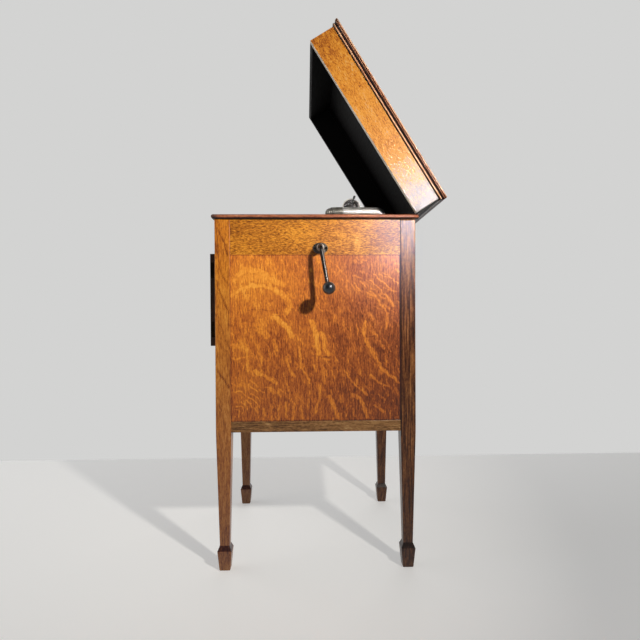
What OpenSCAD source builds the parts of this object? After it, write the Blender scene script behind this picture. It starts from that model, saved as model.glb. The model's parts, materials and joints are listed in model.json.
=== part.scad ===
// Wind-up gramophone in a floor-standing oak cabinet, millimetres.
// Front doors face -Y, the winding crank is on +X, +Z is up and the feet stand at z = 0.
// The pieces are modelled about the cabinet's centre and moved together by placed().

/* [Cabinet] */
// Width of the cabinet over its legs, across the front
body_w = 476; // [470:2:520]
// Depth of the cabinet over its legs, front to back
body_d = 500; // [480:2:540]
// Height of the deck's rim above the floor
deck_z = 890; // [870:2:910]
// Side of the square legs
leg = 38; // [34:1:42]
// Height at which the side panels begin
panel_low_z = 375; // [350:1:400]
// Depth of the upper rails
upper_rail_h = 88; // [84:1:98]
// Depth of the lower rails
low_rail_h = 27; // [20:1:35]
// Thickness of the rails
rail_t = 18; // [16:1:20]
// Thickness of the panels
panel_t = 10; // [8:1:12]
// How far the deck moulding stands out
overhang = 7; // [5:0.5:9]
// Height of the deck moulding
moulding_h = 12; // [10:1:14]
// Depth of the motor board's top below the deck's rim
well_d = 22; // [20:1:26]

/* [Feet] */
// Width of a leg at its ankle
ankle_w = 24.5; // [22:0.5:28]
// Height of the ankle above the floor
ankle_z = 62; // [58:1:70]
// Width of a foot at its shoulder
shoulder_w = 36; // [32:1:40]
// Height of a foot's shoulder
shoulder_z = 50; // [44:1:54]
// Width of a foot on the floor
sole_w = 27; // [24:1:30]

/* [Doors] */
// Thickness of the doors
door_t = 18; // [14:1:20]
// Distance from the deck's rim down to the doors' upper edge
door_drop = 93; // [86:1:100]
// Height of the doors
door_h = 235; // [225:1:245]

/* [Lid] */
// Angle at which the lid stands open on its stay
lid_open = 58.2; // [50:0.2:62]
// Height of the lid's side boards
lid_side_h = 67; // [60:1:72]
// Height of the moulding round the lid's top
lid_moulding_h = 19; // [18:1:22]
// How far the lid's moulding stands out
lid_overhang = 9; // [7:0.5:10]
// Thickness of the lid's boards
lid_t = 12; // [10:1:14]

/* [Turntable] */
// Radius of the turntable, for records of 12 inches
platter_r = 152; // [140:1:152]
// Radius of the pin that holds the record
record_pin_r = 3.6; // [3.5:0.01:3.62]

/* [Tone arm] */
// Radius of the tone arm's tube
tube_r = 15; // [13:0.5:15.5]
// Height of the tube's centre line above the deck's rim
tube_rise = 25; // [23:1:26]
// Radius of the soundbox
soundbox_r = 25.5; // [24:0.5:26]

/* [Crank] */
// Length of the crank's arm, from its shaft to the knob
crank_arm_l = 104.5; // [90:0.5:120]
// Lean of the hanging crank towards the back, from straight down
crank_lean = 9.7; // [0:0.1:20]
// Radius of the ball knob
knob_r = 15.4; // [13:0.2:17]

/* [Hidden] */

$fn = 48;
eps = 0.01;
oak = "#b8702c";
dark_oak = "#8a4f22";
nickel = "#c9c8c2";
brass = "#b08d4a";
steel = "#8b8d90";
black_iron = "#24262a";

// Cabinet outline
side_x = body_w / 2;
front_y = body_d / 2;
leg_in_x = side_x - leg;
leg_in_y = front_y - leg;
rail_top_z = deck_z - moulding_h;
panel_high_z = rail_top_z - upper_rail_h;
foot_rail_z = panel_low_z - low_rail_h;
taper_z = foot_rail_z - 4;
rail_set = 0.8;
panel_set = 1.2;
mitre_gap = 0.1;
rail_in_x = side_x - rail_set - rail_t;
rail_in_y = front_y - rail_set - rail_t;
door_high_z = deck_z - door_drop;
door_low_z = door_high_z - door_h;
door_lap = 12;
mouth_low_z = door_low_z + door_lap;
mouth_high_z = door_high_z - door_lap;
sill_z = mouth_low_z - 28;

// Deck
board_t = 12;
board_z = deck_z - well_d;
board_low_z = board_z - board_t;
board_x = rail_in_x - 0.6;
board_y = rail_in_y - 0.6;
fit_gap = 0.3;
bolts = [[-56, 38], [92, -34], [92, 54]];
bolt_r = 2.4;
bolt_hole_r = 2.5;

// Lid hinge and lid, in the closed position
hinge_y = front_y + 4.5;
hinge_z = deck_z + 0.5;
hinge_x = 150;
hinge_l = 60;
leaf_t = 1.5;
knuckles = 5;
knuckle_l = hinge_l / knuckles;
knuckle_r = 4;
knuckle_gap = 0.15;
hinge_pin_r = 1.8;
pin_gap = 0.06;
lid_low_z = deck_z + 1;
lid_shelf_z = lid_low_z + lid_side_h;
lid_top_z = lid_shelf_z + lid_moulding_h;
lid_ceiling_z = lid_top_z - 8;
stay_r = 135;
stay_w = 12;
stay_t = 2;
stay_x = -side_x + 22;
stay_y = hinge_y - stay_r;

// Door hinges
door_edge_x = leg_in_x - 0.6;
door_back_y = -front_y - 0.3;
door_front_y = door_back_y - door_t;
door_gap = 0.6;
door_pin = [door_edge_x + 3.8, -front_y - 4.2];
door_knuckle_r = 3;
door_pin_r = 1.3;
door_hinge_l = 40;
door_knuckle_l = door_hinge_l / 3;
door_hinge_in = 22;
door_hinge_z = [door_low_z + door_hinge_in, door_high_z - door_hinge_in - door_hinge_l];

// Turntable and motor
spindle_at = [-40, 0];
barrel_at = [60, 12];
module_mm = 1.25;
barrel_teeth = 80;
pinion_teeth = 16;
middle_teeth = 60;
barrel_reach = (barrel_teeth + pinion_teeth) * module_mm / 2;
spindle_reach = (middle_teeth + pinion_teeth) * module_mm / 2;
felt_t = 2;
platter_top_z = deck_z - 4;
felt_top_z = platter_top_z + felt_t;
record_pin_l = 10;
hub_bore_r = record_pin_r + 0.4;
top_plate_z = board_low_z - 6;
bottom_plate_z = top_plate_z - 90;
plate_t = 3;
mesh_low_z = top_plate_z - 8;
mesh_t = 4;
middle_z = bottom_plate_z + 30;
barrel_z = mesh_low_z - 22;
crank_z = barrel_z - 14;
spindle_r = 5;
arbor_r = 5;
arbor_end_r = 4;
middle_end_r = 2;
governor_z = bottom_plate_z + 16;
governor_at_x = spindle_at[0] - 33.5;
governor_y = [-36, 58];
governor_disc_y = 41;
governor_shaft_r = 1.5;
worm_module = 1.5;
worm_starts = 3;
wheel_teeth = 42;
winder_teeth = 14;
winder_r = winder_teeth * module_mm / 2;
wheel_r = wheel_teeth * module_mm / 2;
plate_box = [-52, -46, 114, 66];
pillars = [[-44, -38], [-44, 58], [106, -38], [106, 58]];

// Centre of the intermediate gear, at its two centre distances from spindle and barrel
span = norm(barrel_at - spindle_at);
along = (pow(spindle_reach, 2) - pow(barrel_reach, 2) + pow(span, 2)) / (2 * span);
aside = sqrt(pow(spindle_reach, 2) - pow(along, 2));
toward = (barrel_at - spindle_at) / span;
middle_at = spindle_at + along * toward + aside * [-toward[1], toward[0]];

// Tone arm
pivot = [135, 175];
tube_z = deck_z + tube_rise;
throw_pin = [48, tube_z + 6];
box_x = [97, 113];
box_at = [102, tube_z + 19];
chuck_angle = 75;
chuck_r = 3.2;
chuck_x = 112;
chuck_from = soundbox_r + 0.5;
chuck_to = soundbox_r + 7.5;
needle_bore_r = 0.8;
drum_r = 11;
spigot_r = 8;
crook_x = 87;
elbow_r = 16;
cover_r = soundbox_r - 3;

// Crank
crank_y = 12;
shaft_r = 6;
crank_hole_r = shaft_r + 3;
crank_hub_x = side_x + 9;
crank_hub_l = 15;
crank_out_top = 36;
crank_out_low = 50;
knob_out = 72;
knob_neck = knob_r + 0.4;
knob_pin_r = 2.5;
knob_pin_l = 10;
rod_r = 5;
escutcheon_x = side_x - rail_set;
escutcheon_half = [19, 13.8];
escutcheon_t = 2.5;
escutcheon_screw = 14.4;

// Horn
mouth_y = -front_y + 26;
throat_y = pivot[1] - 47;
throat_z = deck_z - 200;
throat_flange_t = 6;
horn_t = 8;
mouth_half_x = leg_in_x - 12;
mouth_z = [mouth_low_z + 8, mouth_high_z - 27];
throat_half = 30;
throat_pipe_r = 21;
throat_bore_r = 17.5;

// Brake and speed levers
brake_pivot = [98, -168];
brake_post_r = 3.1;
speed_pivot = [-200, 49];
speed_post_r = 4;

// Middle of the whole part's box, where its origin stands
function turned(y, z) = [
    hinge_y + (y - hinge_y) * cos(lid_open) + (z - hinge_z) * sin(lid_open),
    hinge_z - (y - hinge_y) * sin(lid_open) + (z - hinge_z) * cos(lid_open)];
x_low = -side_x - lid_overhang;
x_high = side_x + knob_out + knob_r;
y_high = turned(front_y + lid_overhang, lid_top_z - 4)[0];
mid_x = (x_low + x_high) / 2;
mid_y = (door_front_y + y_high) / 2;

module placed() {
    translate([-mid_x, -mid_y, 0]) children();
}

module lid_placed() {
    placed()
        translate([0, hinge_y, hinge_z])
            rotate([-lid_open, 0, 0])
                translate([0, -hinge_y, -hinge_z])
                    children();
}

// A box given by its low and high corners
module block(low, high) {
    translate(low) cube(high - low);
}

// An outline in X and Z, run along Y
module run_y(y0, y1) {
    translate([0, y1, 0]) rotate([90, 0, 0]) linear_extrude(y1 - y0) children();
}

// An outline in Y and Z, run along X
module run_x(x0, x1) {
    translate([x0, 0, 0]) rotate([90, 0, 90]) linear_extrude(x1 - x0) children();
}

// A round bar between two points
module rod(p, q, r) {
    d = q - p;
    translate(p)
        rotate([0, acos(d[2] / norm(d)), atan2(d[1], d[0])])
            cylinder(h = norm(d), r = r);
}

module disc_x(x0, x1, y, z, r) {
    translate([x0, y, z]) rotate([0, 90, 0]) cylinder(h = x1 - x0, r = r);
}

module post(at, z0, z1, r) {
    translate([at[0], at[1], z0]) cylinder(h = z1 - z0, r = r);
}

// Toothed outline: flats slope from root to tip, with room between meshed flanks
tooth = [[-0.3, -1.15], [-0.12, 0.8], [0.12, 0.8], [0.3, -1.15]];
function gear_outline(n, m, turn) = [
    for (i = [0 : n - 1], s = tooth)
        let (a = turn + (i + s[0]) * 360 / n, r = n * m / 2 + s[1] * m)
            [r * cos(a), r * sin(a)]];

// Turn of a second gear so that its gap faces the first one's tooth, along direction phi
function mesh_turn(n1, turn1, n2, phi) =
    phi + 180 - (0.5 - (phi - turn1) * n1 / 360) * 360 / n2;
function heading(from, to) = atan2(to[1] - from[1], to[0] - from[0]);
spindle_turn = 0;
middle_turn = mesh_turn(pinion_teeth, spindle_turn, middle_teeth, heading(spindle_at, middle_at));
barrel_turn = mesh_turn(pinion_teeth, middle_turn, barrel_teeth, heading(middle_at, barrel_at));

module gear(n, m, turn, h) {
    linear_extrude(h) polygon(gear_outline(n, m, turn));
}

// Legs: the same outline seen from the front and from the side
module leg_outline() {
    half = leg / 2;
    polygon([
        [-sole_w / 2, 0], [sole_w / 2, 0],
        [shoulder_w / 2, shoulder_z], [ankle_w / 2, ankle_z],
        [half, taper_z], [half, rail_top_z],
        [-half, rail_top_z], [-half, taper_z],
        [-ankle_w / 2, ankle_z], [-shoulder_w / 2, shoulder_z]]);
}

module cabinet_leg(sx, sy) {
    color(oak)
        placed()
            translate([sx * (side_x - leg / 2), sy * (front_y - leg / 2), 0])
                intersection() {
                    run_x(-leg, leg) leg_outline();
                    run_y(-leg, leg) leg_outline();
                }
}

// Cabinet boards; s is +1 for the crank side and -1 for the other
module side_board(s, z0, z1, t, set) {
    mirror([s < 0 ? 1 : 0, 0, 0])
        block([side_x - set - t, -leg_in_y, z0], [side_x - set, leg_in_y, z1]);
}

module side_panel(s) {
    color(oak) placed() side_board(s, panel_low_z, panel_high_z, panel_t, panel_set);
}

module upper_side_rails() {
    color(oak)
        placed() {
            difference() {
                side_board(1, panel_high_z, rail_top_z, rail_t, rail_set);
                disc_x(rail_in_x - 1, side_x, crank_y, crank_z, crank_hole_r);
            }
            side_board(-1, panel_high_z, rail_top_z, rail_t, rail_set);
        }
}

module lower_side_rails() {
    color(dark_oak)
        placed()
            for (s = [-1, 1]) side_board(s, foot_rail_z, panel_low_z, rail_t, rail_set);
}

module cross_rail(s, z0, z1) {
    mirror([0, s > 0 ? 1 : 0, 0])
        block([-leg_in_x, -front_y + rail_set, z0], [leg_in_x, -front_y + rail_set + rail_t, z1]);
}

module front_rails() {
    color(oak)
        placed() {
            cross_rail(-1, mouth_high_z, rail_top_z);
            cross_rail(-1, sill_z, mouth_low_z);
            cross_rail(-1, foot_rail_z, panel_low_z);
        }
}

module rear_rails() {
    color(dark_oak)
        placed() {
            cross_rail(1, panel_high_z, rail_top_z);
            cross_rail(1, foot_rail_z, panel_low_z);
        }
}

module front_lower_panel() {
    color(oak)
        placed()
            block([-leg_in_x, -front_y + panel_set, panel_low_z],
                  [leg_in_x, -front_y + panel_set + panel_t, sill_z]);
}

module back_panel() {
    color(dark_oak)
        placed()
            block([-leg_in_x, front_y - panel_set - panel_t, panel_low_z],
                  [leg_in_x, front_y - panel_set, panel_high_z]);
}

// A board that fills the cabinet between its rails and is notched round the four legs
module notched_outline(x, y) {
    square([2 * x, 2 * (leg_in_y - fit_gap)], center = true);
    square([2 * (leg_in_x - fit_gap), 2 * y], center = true);
}

module cabinet_floor() {
    rise = 10;
    color(dark_oak)
        placed()
            translate([0, 0, foot_rail_z + rise])
                linear_extrude(board_t) notched_outline(board_x, board_y);
}

// Deck moulding: flat inside, half-round nose outside
module nosing(inner) {
    nose = moulding_h / 2;
    translate([-inner, 0]) square([inner + overhang - nose, moulding_h]);
    translate([overhang - nose, nose]) circle(r = nose);
}

module deck_side_bar() {
    intersection() {
        translate([side_x, 0, rail_top_z])
            run_y(-front_y - overhang, front_y + overhang) nosing(rail_t + rail_set);
        linear_extrude(deck_z + 1)
            polygon([
                [rail_in_x, -rail_in_y + mitre_gap],
                [side_x + overhang, -front_y - overhang + mitre_gap],
                [side_x + overhang, front_y + overhang], [rail_in_x, front_y + overhang]]);
    }
}

module deck_moulding() {
    color(dark_oak)
        placed() {
            deck_side_bar();
            mirror([1, 0, 0]) deck_side_bar();
            intersection() {
                translate([0, -front_y, rail_top_z])
                    run_x(-side_x - overhang, side_x + overhang)
                        mirror([1, 0]) nosing(rail_t + rail_set);
                linear_extrude(deck_z + 1)
                    polygon([
                        [-rail_in_x, -rail_in_y], [-side_x - overhang, -front_y - overhang],
                        [side_x + overhang, -front_y - overhang], [rail_in_x, -rail_in_y]]);
            }
            block([-rail_in_x + mitre_gap, rail_in_y, rail_top_z],
                  [rail_in_x - mitre_gap, front_y, deck_z]);
        }
}

// Deck: the motor board is notched on the left for the lid's stay
module board_hole(at, r) {
    post(at, board_low_z - 1, board_z + 1, r);
}

module motor_board() {
    color(oak)
        placed()
            difference() {
                translate([0, 0, board_low_z])
                    linear_extrude(board_t) notched_outline(board_x, board_y);
                board_hole(spindle_at, 13);
                board_hole(pivot, throat_pipe_r);
                board_hole(brake_pivot, brake_post_r + 0.1);
                board_hole(speed_pivot, speed_post_r + 0.2);
                for (b = bolts) board_hole(b, bolt_hole_r);
                block([-board_x - 1, stay_y - 10, board_low_z - 1], [stay_x + 6, stay_y + 15, board_z + 1]);
            }
}

module board_ledgers() {
    ledger_h = 18;
    ledger_d = 12;
    end_gap = 4;
    color(dark_oak)
        placed()
            for (s = [0, 1])
                mirror([0, s, 0])
                    block([-leg_in_x + end_gap, -rail_in_y, board_low_z - ledger_h],
                          [leg_in_x - end_gap, -rail_in_y + ledger_d, board_low_z]);
}

// Tone arm's base: a flange with three screw holes and the collar that the arm turns in
module tonearm_base() {
    flange = [31, 3.5];
    collar = [20.5, 18];
    screw_at = 26;
    screw_r = 1.6;
    color(nickel)
        placed()
            translate([pivot[0], pivot[1], board_z])
                difference() {
                    union() {
                        cylinder(h = flange[1], r = flange[0]);
                        cylinder(h = collar[1], r = collar[0]);
                    }
                    translate([0, 0, -1]) cylinder(h = collar[1] + 2, r = tube_r + 1.08);
                    for (a = [30 : 120 : 270])
                        rotate(a) translate([screw_at, 0, -1]) cylinder(h = flange[1] + 2, r = screw_r);
                }
}

// Horn: four flat boards from the mouth behind the doors to the throat at the back.
// m0, m1, t0 and t1 are a board's low and high corners in X and Z, at the mouth and the throat.
module horn_slab(m0, m1, t0, t1) {
    hull() {
        block([m0[0], mouth_y, m0[1]], [m1[0], mouth_y + eps, m1[1]]);
        block([t0[0], throat_y - eps, t0[1]], [t1[0], throat_y, t1[1]]);
    }
}

module horn_boards() {
    mx = mouth_half_x;
    mz = mouth_z;
    tx = [pivot[0] - throat_half, pivot[0] + throat_half];
    tz = [throat_z - throat_half, throat_z + throat_half];
    t = horn_t;
    g = mitre_gap;
    color(dark_oak)
        placed() {
            horn_slab([-mx - t, mz[1]], [mx + t, mz[1] + t], [tx[0] - t, tz[1]], [tx[1] + t, tz[1] + t]);
            horn_slab([-mx - t, mz[0] - t], [mx + t, mz[0]], [tx[0] - t, tz[0] - t], [tx[1] + t, tz[0]]);
            horn_slab([-mx - t, mz[0] + g], [-mx, mz[1] - g], [tx[0] - t, tz[0] + g], [tx[0], tz[1] - g]);
            horn_slab([mx, mz[0] + g], [mx + t, mz[1] - g], [tx[1], tz[0] + g], [tx[1] + t, tz[1] - g]);
        }
}

// Cast pipe that turns the sound from the tone arm into the horn
module throat_bend(r) {
    bend = pivot[1] - throat_y - throat_flange_t;
    translate([pivot[0], throat_y + throat_flange_t, throat_z + bend])
        rotate([0, 90, 0])
            rotate_extrude(angle = 90) translate([bend, 0]) circle(r = r);
    post(pivot, throat_z + bend, board_z, r);
}

module horn_throat() {
    half = throat_half + horn_t;
    color(black_iron)
        placed()
            difference() {
                union() {
                    throat_bend(throat_pipe_r - fit_gap);
                    block([pivot[0] - half, throat_y, throat_z - half],
                          [pivot[0] + half, throat_y + throat_flange_t, throat_z + half]);
                }
                throat_bend(throat_bore_r);
                translate([pivot[0], throat_y - 1, throat_z])
                    rotate([-90, 0, 0]) cylinder(h = throat_flange_t + 2, r = throat_bore_r);
                post(pivot, board_z - 5, board_z + 1, throat_bore_r);
            }
}

// Slanted slats across the horn's mouth
module horn_louvres() {
    count = 4;
    slat = [2 * leg_in_x - 1, 20, 4];
    tilt = 35;
    set_back = 13;
    pitch = (mouth_high_z - mouth_low_z) / count;
    color(dark_oak)
        placed()
            for (i = [0 : count - 1])
                translate([0, -front_y + set_back, mouth_low_z + (i + 0.5) * pitch])
                    rotate([-tilt, 0, 0])
                        cube(slat, center = true);
}

// Crank plate: an oval with a boss and a bush for the shaft and a screw at each end
module crank_escutcheon() {
    boss = [10.5, 7];
    color(nickel)
        placed()
            translate([escutcheon_x, crank_y, crank_z])
                rotate([90, 0, 90])
                    difference() {
                        union() {
                            linear_extrude(escutcheon_t) scale(escutcheon_half) circle(r = 1, $fn = 64);
                            cylinder(h = boss[1], r = boss[0]);
                            translate([0, 0, -rail_t]) cylinder(h = rail_t + 1, r = crank_hole_r - 0.1);
                        }
                        translate([0, 0, -rail_t - 1])
                            cylinder(h = rail_t + boss[1] + 2, r = shaft_r + 0.08);
                        for (s = [-1, 1])
                            translate([s * escutcheon_screw, 0, -1])
                                cylinder(h = escutcheon_t + 2, r = 1.5);
                    }
}

module escutcheon_screws() {
    head_r = 3;
    head_x = escutcheon_x + escutcheon_t;
    head_t = 1.4;
    slot_d = 0.6;
    slot_half = 0.4;
    color(steel)
        placed()
            for (s = [-1, 1]) {
                y = crank_y + s * escutcheon_screw;
                difference() {
                    union() {
                        disc_x(head_x, head_x + head_t, y, crank_z, head_r);
                        disc_x(escutcheon_x, head_x + 0.1, y, crank_z, 1.4);
                    }
                    block([head_x + head_t - slot_d, y - slot_half, crank_z - head_r - 1],
                          [head_x + head_t + 1, y + slot_half, crank_z + head_r + 1]);
                }
            }
}

// Butt hinges of the lid: knuckles in turn on the fixed and the moving leaf
module hinge_tube(x0, i, r) {
    disc_x(x0 + i * knuckle_l + knuckle_gap, x0 + (i + 1) * knuckle_l - knuckle_gap,
           hinge_y, hinge_z, r);
}

// Strip that joins knuckle i to its leaf
module hinge_strip(x0, i, z0, z1) {
    block([x0 + i * knuckle_l + knuckle_gap, front_y, z0],
          [x0 + (i + 1) * knuckle_l - knuckle_gap, hinge_y, z1]);
}

module lid_hinge_leaves() {
    leaf_low_z = hinge_z - 30;
    leaf_high_z = hinge_z - 3.3;
    pin_out = 2;
    color(brass)
        placed()
            for (cx = [-hinge_x, hinge_x]) {
                x0 = cx - hinge_l / 2;
                block([x0, front_y, leaf_low_z], [x0 + hinge_l, front_y + leaf_t, leaf_high_z]);
                for (i = [0 : 2 : knuckles - 1]) {
                    hinge_tube(x0, i, knuckle_r);
                    hinge_strip(x0, i, leaf_high_z - fit_gap, hinge_z - 0.6);
                }
                disc_x(x0 - pin_out, x0 + hinge_l + pin_out, hinge_y, hinge_z, hinge_pin_r);
            }
}

module lid_hinge_flaps() {
    flap_low_z = hinge_z + 3.3;
    flap_high_z = hinge_z + 28;
    color(brass)
        lid_placed()
            for (cx = [-hinge_x, hinge_x]) {
                x0 = cx - hinge_l / 2;
                block([x0, front_y, flap_low_z], [x0 + hinge_l, front_y + leaf_t, flap_high_z]);
                for (i = [1 : 2 : knuckles - 1])
                    difference() {
                        union() {
                            hinge_tube(x0, i, knuckle_r);
                            hinge_strip(x0, i, hinge_z + 0.6, flap_low_z + fit_gap);
                        }
                        hinge_tube(x0 - 1, i, hinge_pin_r + pin_gap);
                        hinge_tube(x0 + 1, i, hinge_pin_r + pin_gap);
                    }
            }
}

// Stay: a strip bent round the lid's hinge line, which slides through a guide
module stay_guide() {
    slot_half = 1.5;
    color(brass)
        placed()
            difference() {
                block([-rail_in_x, stay_y - 11, deck_z - 15], [stay_x + 3, stay_y + 12, deck_z - 4]);
                block([stay_x - slot_half, stay_y - 7.5, deck_z - 16],
                      [stay_x + slot_half, stay_y + 9, deck_z - 3]);
            }
}

// Pin across the stay, at angle a round the hinge line
module stay_pin(a, x0, x1, r) {
    disc_x(x0, x1, hinge_y + stay_r * cos(a), hinge_z + stay_r * sin(a), r);
}

module lid_stay() {
    high_end = 166;
    low_end = 190.5 + lid_open;
    rivet_r = 3.5;
    stop_r = 2;
    color(brass)
        lid_placed() {
            translate([stay_x - stay_t / 2, hinge_y, hinge_z])
                rotate([90, 0, 90])
                    rotate(high_end)
                        rotate_extrude(angle = low_end - high_end)
                            translate([stay_r - stay_w / 2, 0]) square([stay_w, stay_t]);
            for (a = [high_end + 2.5, high_end + 7.5])
                stay_pin(a, -side_x + lid_t, stay_x - 0.9, rivet_r);
            stay_pin(low_end - 1.1, stay_x + 0.9, stay_x + 4.5, stop_r);
        }
}

// Lid, drawn closed
module lid_front_board() {
    color(dark_oak)
        lid_placed()
            block([-side_x + lid_t, -front_y, lid_low_z], [side_x - lid_t, -front_y + lid_t, lid_shelf_z]);
}

module lid_back_board() {
    color(dark_oak)
        lid_placed()
            block([-side_x + lid_t, front_y - lid_t, lid_low_z], [side_x - lid_t, front_y, lid_shelf_z]);
}

module lid_side_boards() {
    color(oak)
        lid_placed()
            for (s = [0, 1])
                mirror([s, 0, 0])
                    block([side_x - lid_t, -front_y, lid_low_z], [side_x, front_y, lid_shelf_z]);
}

module lid_top_board() {
    color(oak)
        lid_placed()
            block([-side_x + lid_t + mitre_gap, -front_y + lid_t + mitre_gap, lid_ceiling_z],
                  [side_x - lid_t - mitre_gap, front_y - lid_t - mitre_gap, lid_top_z - 1]);
}

// Lid moulding: a cove, a thin fillet and a round nose below a set-in top
module lid_profile() {
    h = lid_moulding_h;
    nose = 4.5;
    cove_r = 4.5;
    cove_h = 9;
    translate([-lid_t, 0])
        difference() {
            square([lid_t + 5, cove_h]);
            translate([lid_t + 6.5, 0]) circle(r = cove_r);
        }
    translate([-lid_t, cove_h - 1]) square([lid_t + 6, 2]);
    translate([-lid_t, cove_h + 0.5]) square([lid_t + lid_overhang - nose, h - cove_h - 1]);
    translate([lid_overhang - nose, h - nose - 0.5]) circle(r = nose);
    translate([-lid_t, h - 1]) square([lid_t + 2, 1]);
}

// One side of the moulding, mitred at both ends
module lid_bar(half_long, half_wide) {
    o = lid_overhang;
    g = mitre_gap;
    intersection() {
        translate([half_wide, 0, lid_shelf_z])
            run_y(-half_long - o, half_long + o) lid_profile();
        linear_extrude(lid_top_z + 1)
            polygon([
                [half_wide - lid_t, -half_long + lid_t + g], [half_wide + o, -half_long - o + g],
                [half_wide + o, half_long + o - g], [half_wide - lid_t, half_long - lid_t - g]]);
    }
}

module lid_moulding() {
    color(dark_oak)
        lid_placed()
            for (a = [0, 90, 180, 270])
                rotate(a)
                    if (a % 180 == 0) lid_bar(front_y, side_x);
                    else lid_bar(side_x, front_y);
}

// Doors, drawn for the crank side and mirrored for the other.
// A door has a sunk field on its face and a scooped finger hold at the meeting edge.
module door_board() {
    border = 42;
    field_d = 4;
    scoop_r = 13;
    difference() {
        block([door_gap, door_front_y, door_low_z], [door_edge_x, door_back_y, door_high_z]);
        block([door_gap + border, door_front_y - 1, door_low_z + border],
              [door_edge_x - border, door_front_y + field_d, door_high_z - border]);
        translate([door_gap, door_front_y, (door_low_z + door_high_z) / 2]) sphere(r = scoop_r);
    }
}

// Knuckle i of each door hinge, from the lower to the upper hinge
module door_tube(i, r) {
    for (z0 = door_hinge_z)
        post(door_pin, z0 + i * door_knuckle_l + knuckle_gap, z0 + (i + 1) * door_knuckle_l - knuckle_gap, r);
}

module door_leaf() {
    p = door_pin;
    pin_out = 1.5;
    for (z0 = door_hinge_z) {
        block([p[0] + 3.4, -front_y - 1.2, z0], [p[0] + 20, -front_y, z0 + door_hinge_l]);
        for (i = [0, 2])
            block([p[0], -front_y - 2, z0 + i * door_knuckle_l + knuckle_gap],
                  [p[0] + 4, -front_y, z0 + (i + 1) * door_knuckle_l - knuckle_gap]);
        post(p, z0 - pin_out, z0 + door_hinge_l + pin_out, door_pin_r);
    }
    door_tube(0, door_knuckle_r);
    door_tube(2, door_knuckle_r);
}

module door_flap() {
    p = door_pin;
    flap_t = 1.2;
    difference() {
        union() {
            for (z0 = door_hinge_z) {
                block([door_edge_x, door_front_y + 2, z0],
                      [door_edge_x + flap_t, p[1] - 2.3, z0 + door_hinge_l]);
                block([door_edge_x, p[1] - 2.6, z0 + door_knuckle_l + knuckle_gap],
                      [p[0], p[1] - 0.4, z0 + 2 * door_knuckle_l - knuckle_gap]);
            }
            door_tube(1, door_knuckle_r);
        }
        for (z0 = door_hinge_z) post(p, z0 - 2, z0 + door_hinge_l + 2, door_pin_r + pin_gap);
    }
}

module door_hinge_leaves() {
    color(brass)
        placed()
            for (s = [0, 1]) mirror([s, 0, 0]) door_leaf();
}

module door(s) {
    color(dark_oak) placed() mirror([s, 0, 0]) door_board();
}

module door_flaps(s) {
    color(brass) placed() mirror([s, 0, 0]) door_flap();
}

// Turntable: a pressed plate with a turned-down rim and a hub on the spindle's shoulder
module platter() {
    r = platter_r;
    t = platter_top_z;
    hub = [14, 14];
    web_t = 5;
    rim = [7, 10];
    edge = 1.5;
    color(nickel)
        placed()
            translate([spindle_at[0], spindle_at[1], 0])
                rotate_extrude($fn = 96)
                    polygon([
                        [hub_bore_r, t - hub[1]], [hub[0], t - hub[1]], [hub[0], t - web_t],
                        [r - rim[0], t - web_t], [r - rim[0], t - rim[1]], [r - edge, t - rim[1]],
                        [r, t - rim[1] + edge], [r, t - edge], [r - edge, t], [hub_bore_r, t]]);
}

module felt_mat() {
    color("#3c5a3c")
        placed()
            translate([spindle_at[0], spindle_at[1], platter_top_z])
                difference() {
                    cylinder(h = felt_t, r = platter_r - 3, $fn = 96);
                    translate([0, 0, -1]) cylinder(h = felt_t + 2, r = hub_bore_r);
                }
}

// Spindle: end journal, shaft, shoulder for the platter and the bevelled record pin,
// with the pinion of the gear train and the wheel that drives the governor's worm
module spindle() {
    journal_r = 3.95;
    bevel = [2, 1.6];
    wheel = [36, 6];
    boss = [9, 4];
    pinion_h = 10;
    shaft_z = bottom_plate_z + plate_t;
    color(steel)
        placed()
            translate([spindle_at[0], spindle_at[1], 0]) {
                translate([0, 0, bottom_plate_z + 1]) cylinder(h = plate_t - 1, r = journal_r);
                translate([0, 0, shaft_z]) cylinder(h = board_z - shaft_z, r = spindle_r);
                translate([0, 0, board_z - 1]) cylinder(h = felt_top_z - board_z + 1, r = hub_bore_r);
                translate([0, 0, felt_top_z - 1]) cylinder(h = record_pin_l + 1, r = record_pin_r);
                translate([0, 0, felt_top_z + record_pin_l])
                    cylinder(h = bevel[0], r1 = record_pin_r, r2 = record_pin_r - bevel[1]);
                translate([0, 0, middle_z - 3]) gear(pinion_teeth, module_mm, spindle_turn, pinion_h);
                translate([0, 0, governor_z - wheel[1] / 2]) gear(wheel[0], worm_module, 0, wheel[1]);
                translate([0, 0, governor_z + wheel[1] / 2]) cylinder(h = boss[1], r = boss[0]);
            }
}

// Motor frame: two plates on pillars, hung from the motor board by three bolts
module plate_outline() {
    b = plate_box;
    translate([b[0], b[1]]) square([b[2] - b[0], b[3] - b[1]]);
}

module top_plate_hole(at, r) {
    post(at, top_plate_z - 1, top_plate_z + plate_t + 1, r);
}

// Blind bearing that leaves a floor 1 mm thick under the shaft's end
module bottom_plate_bearing(at, r) {
    post(at, bottom_plate_z + 1, bottom_plate_z + plate_t + 1, r);
}

module motor_top_plate() {
    color(steel)
        placed()
            difference() {
                translate([0, 0, top_plate_z])
                    linear_extrude(plate_t) {
                        plate_outline();
                        translate([-64, 30]) square([14, 16]);
                    }
                top_plate_hole(spindle_at, spindle_r + pin_gap);
                top_plate_hole(barrel_at, arbor_end_r + pin_gap);
                top_plate_hole(middle_at, middle_end_r + pin_gap);
                for (b = bolts) top_plate_hole(b, bolt_hole_r);
            }
}

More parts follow.
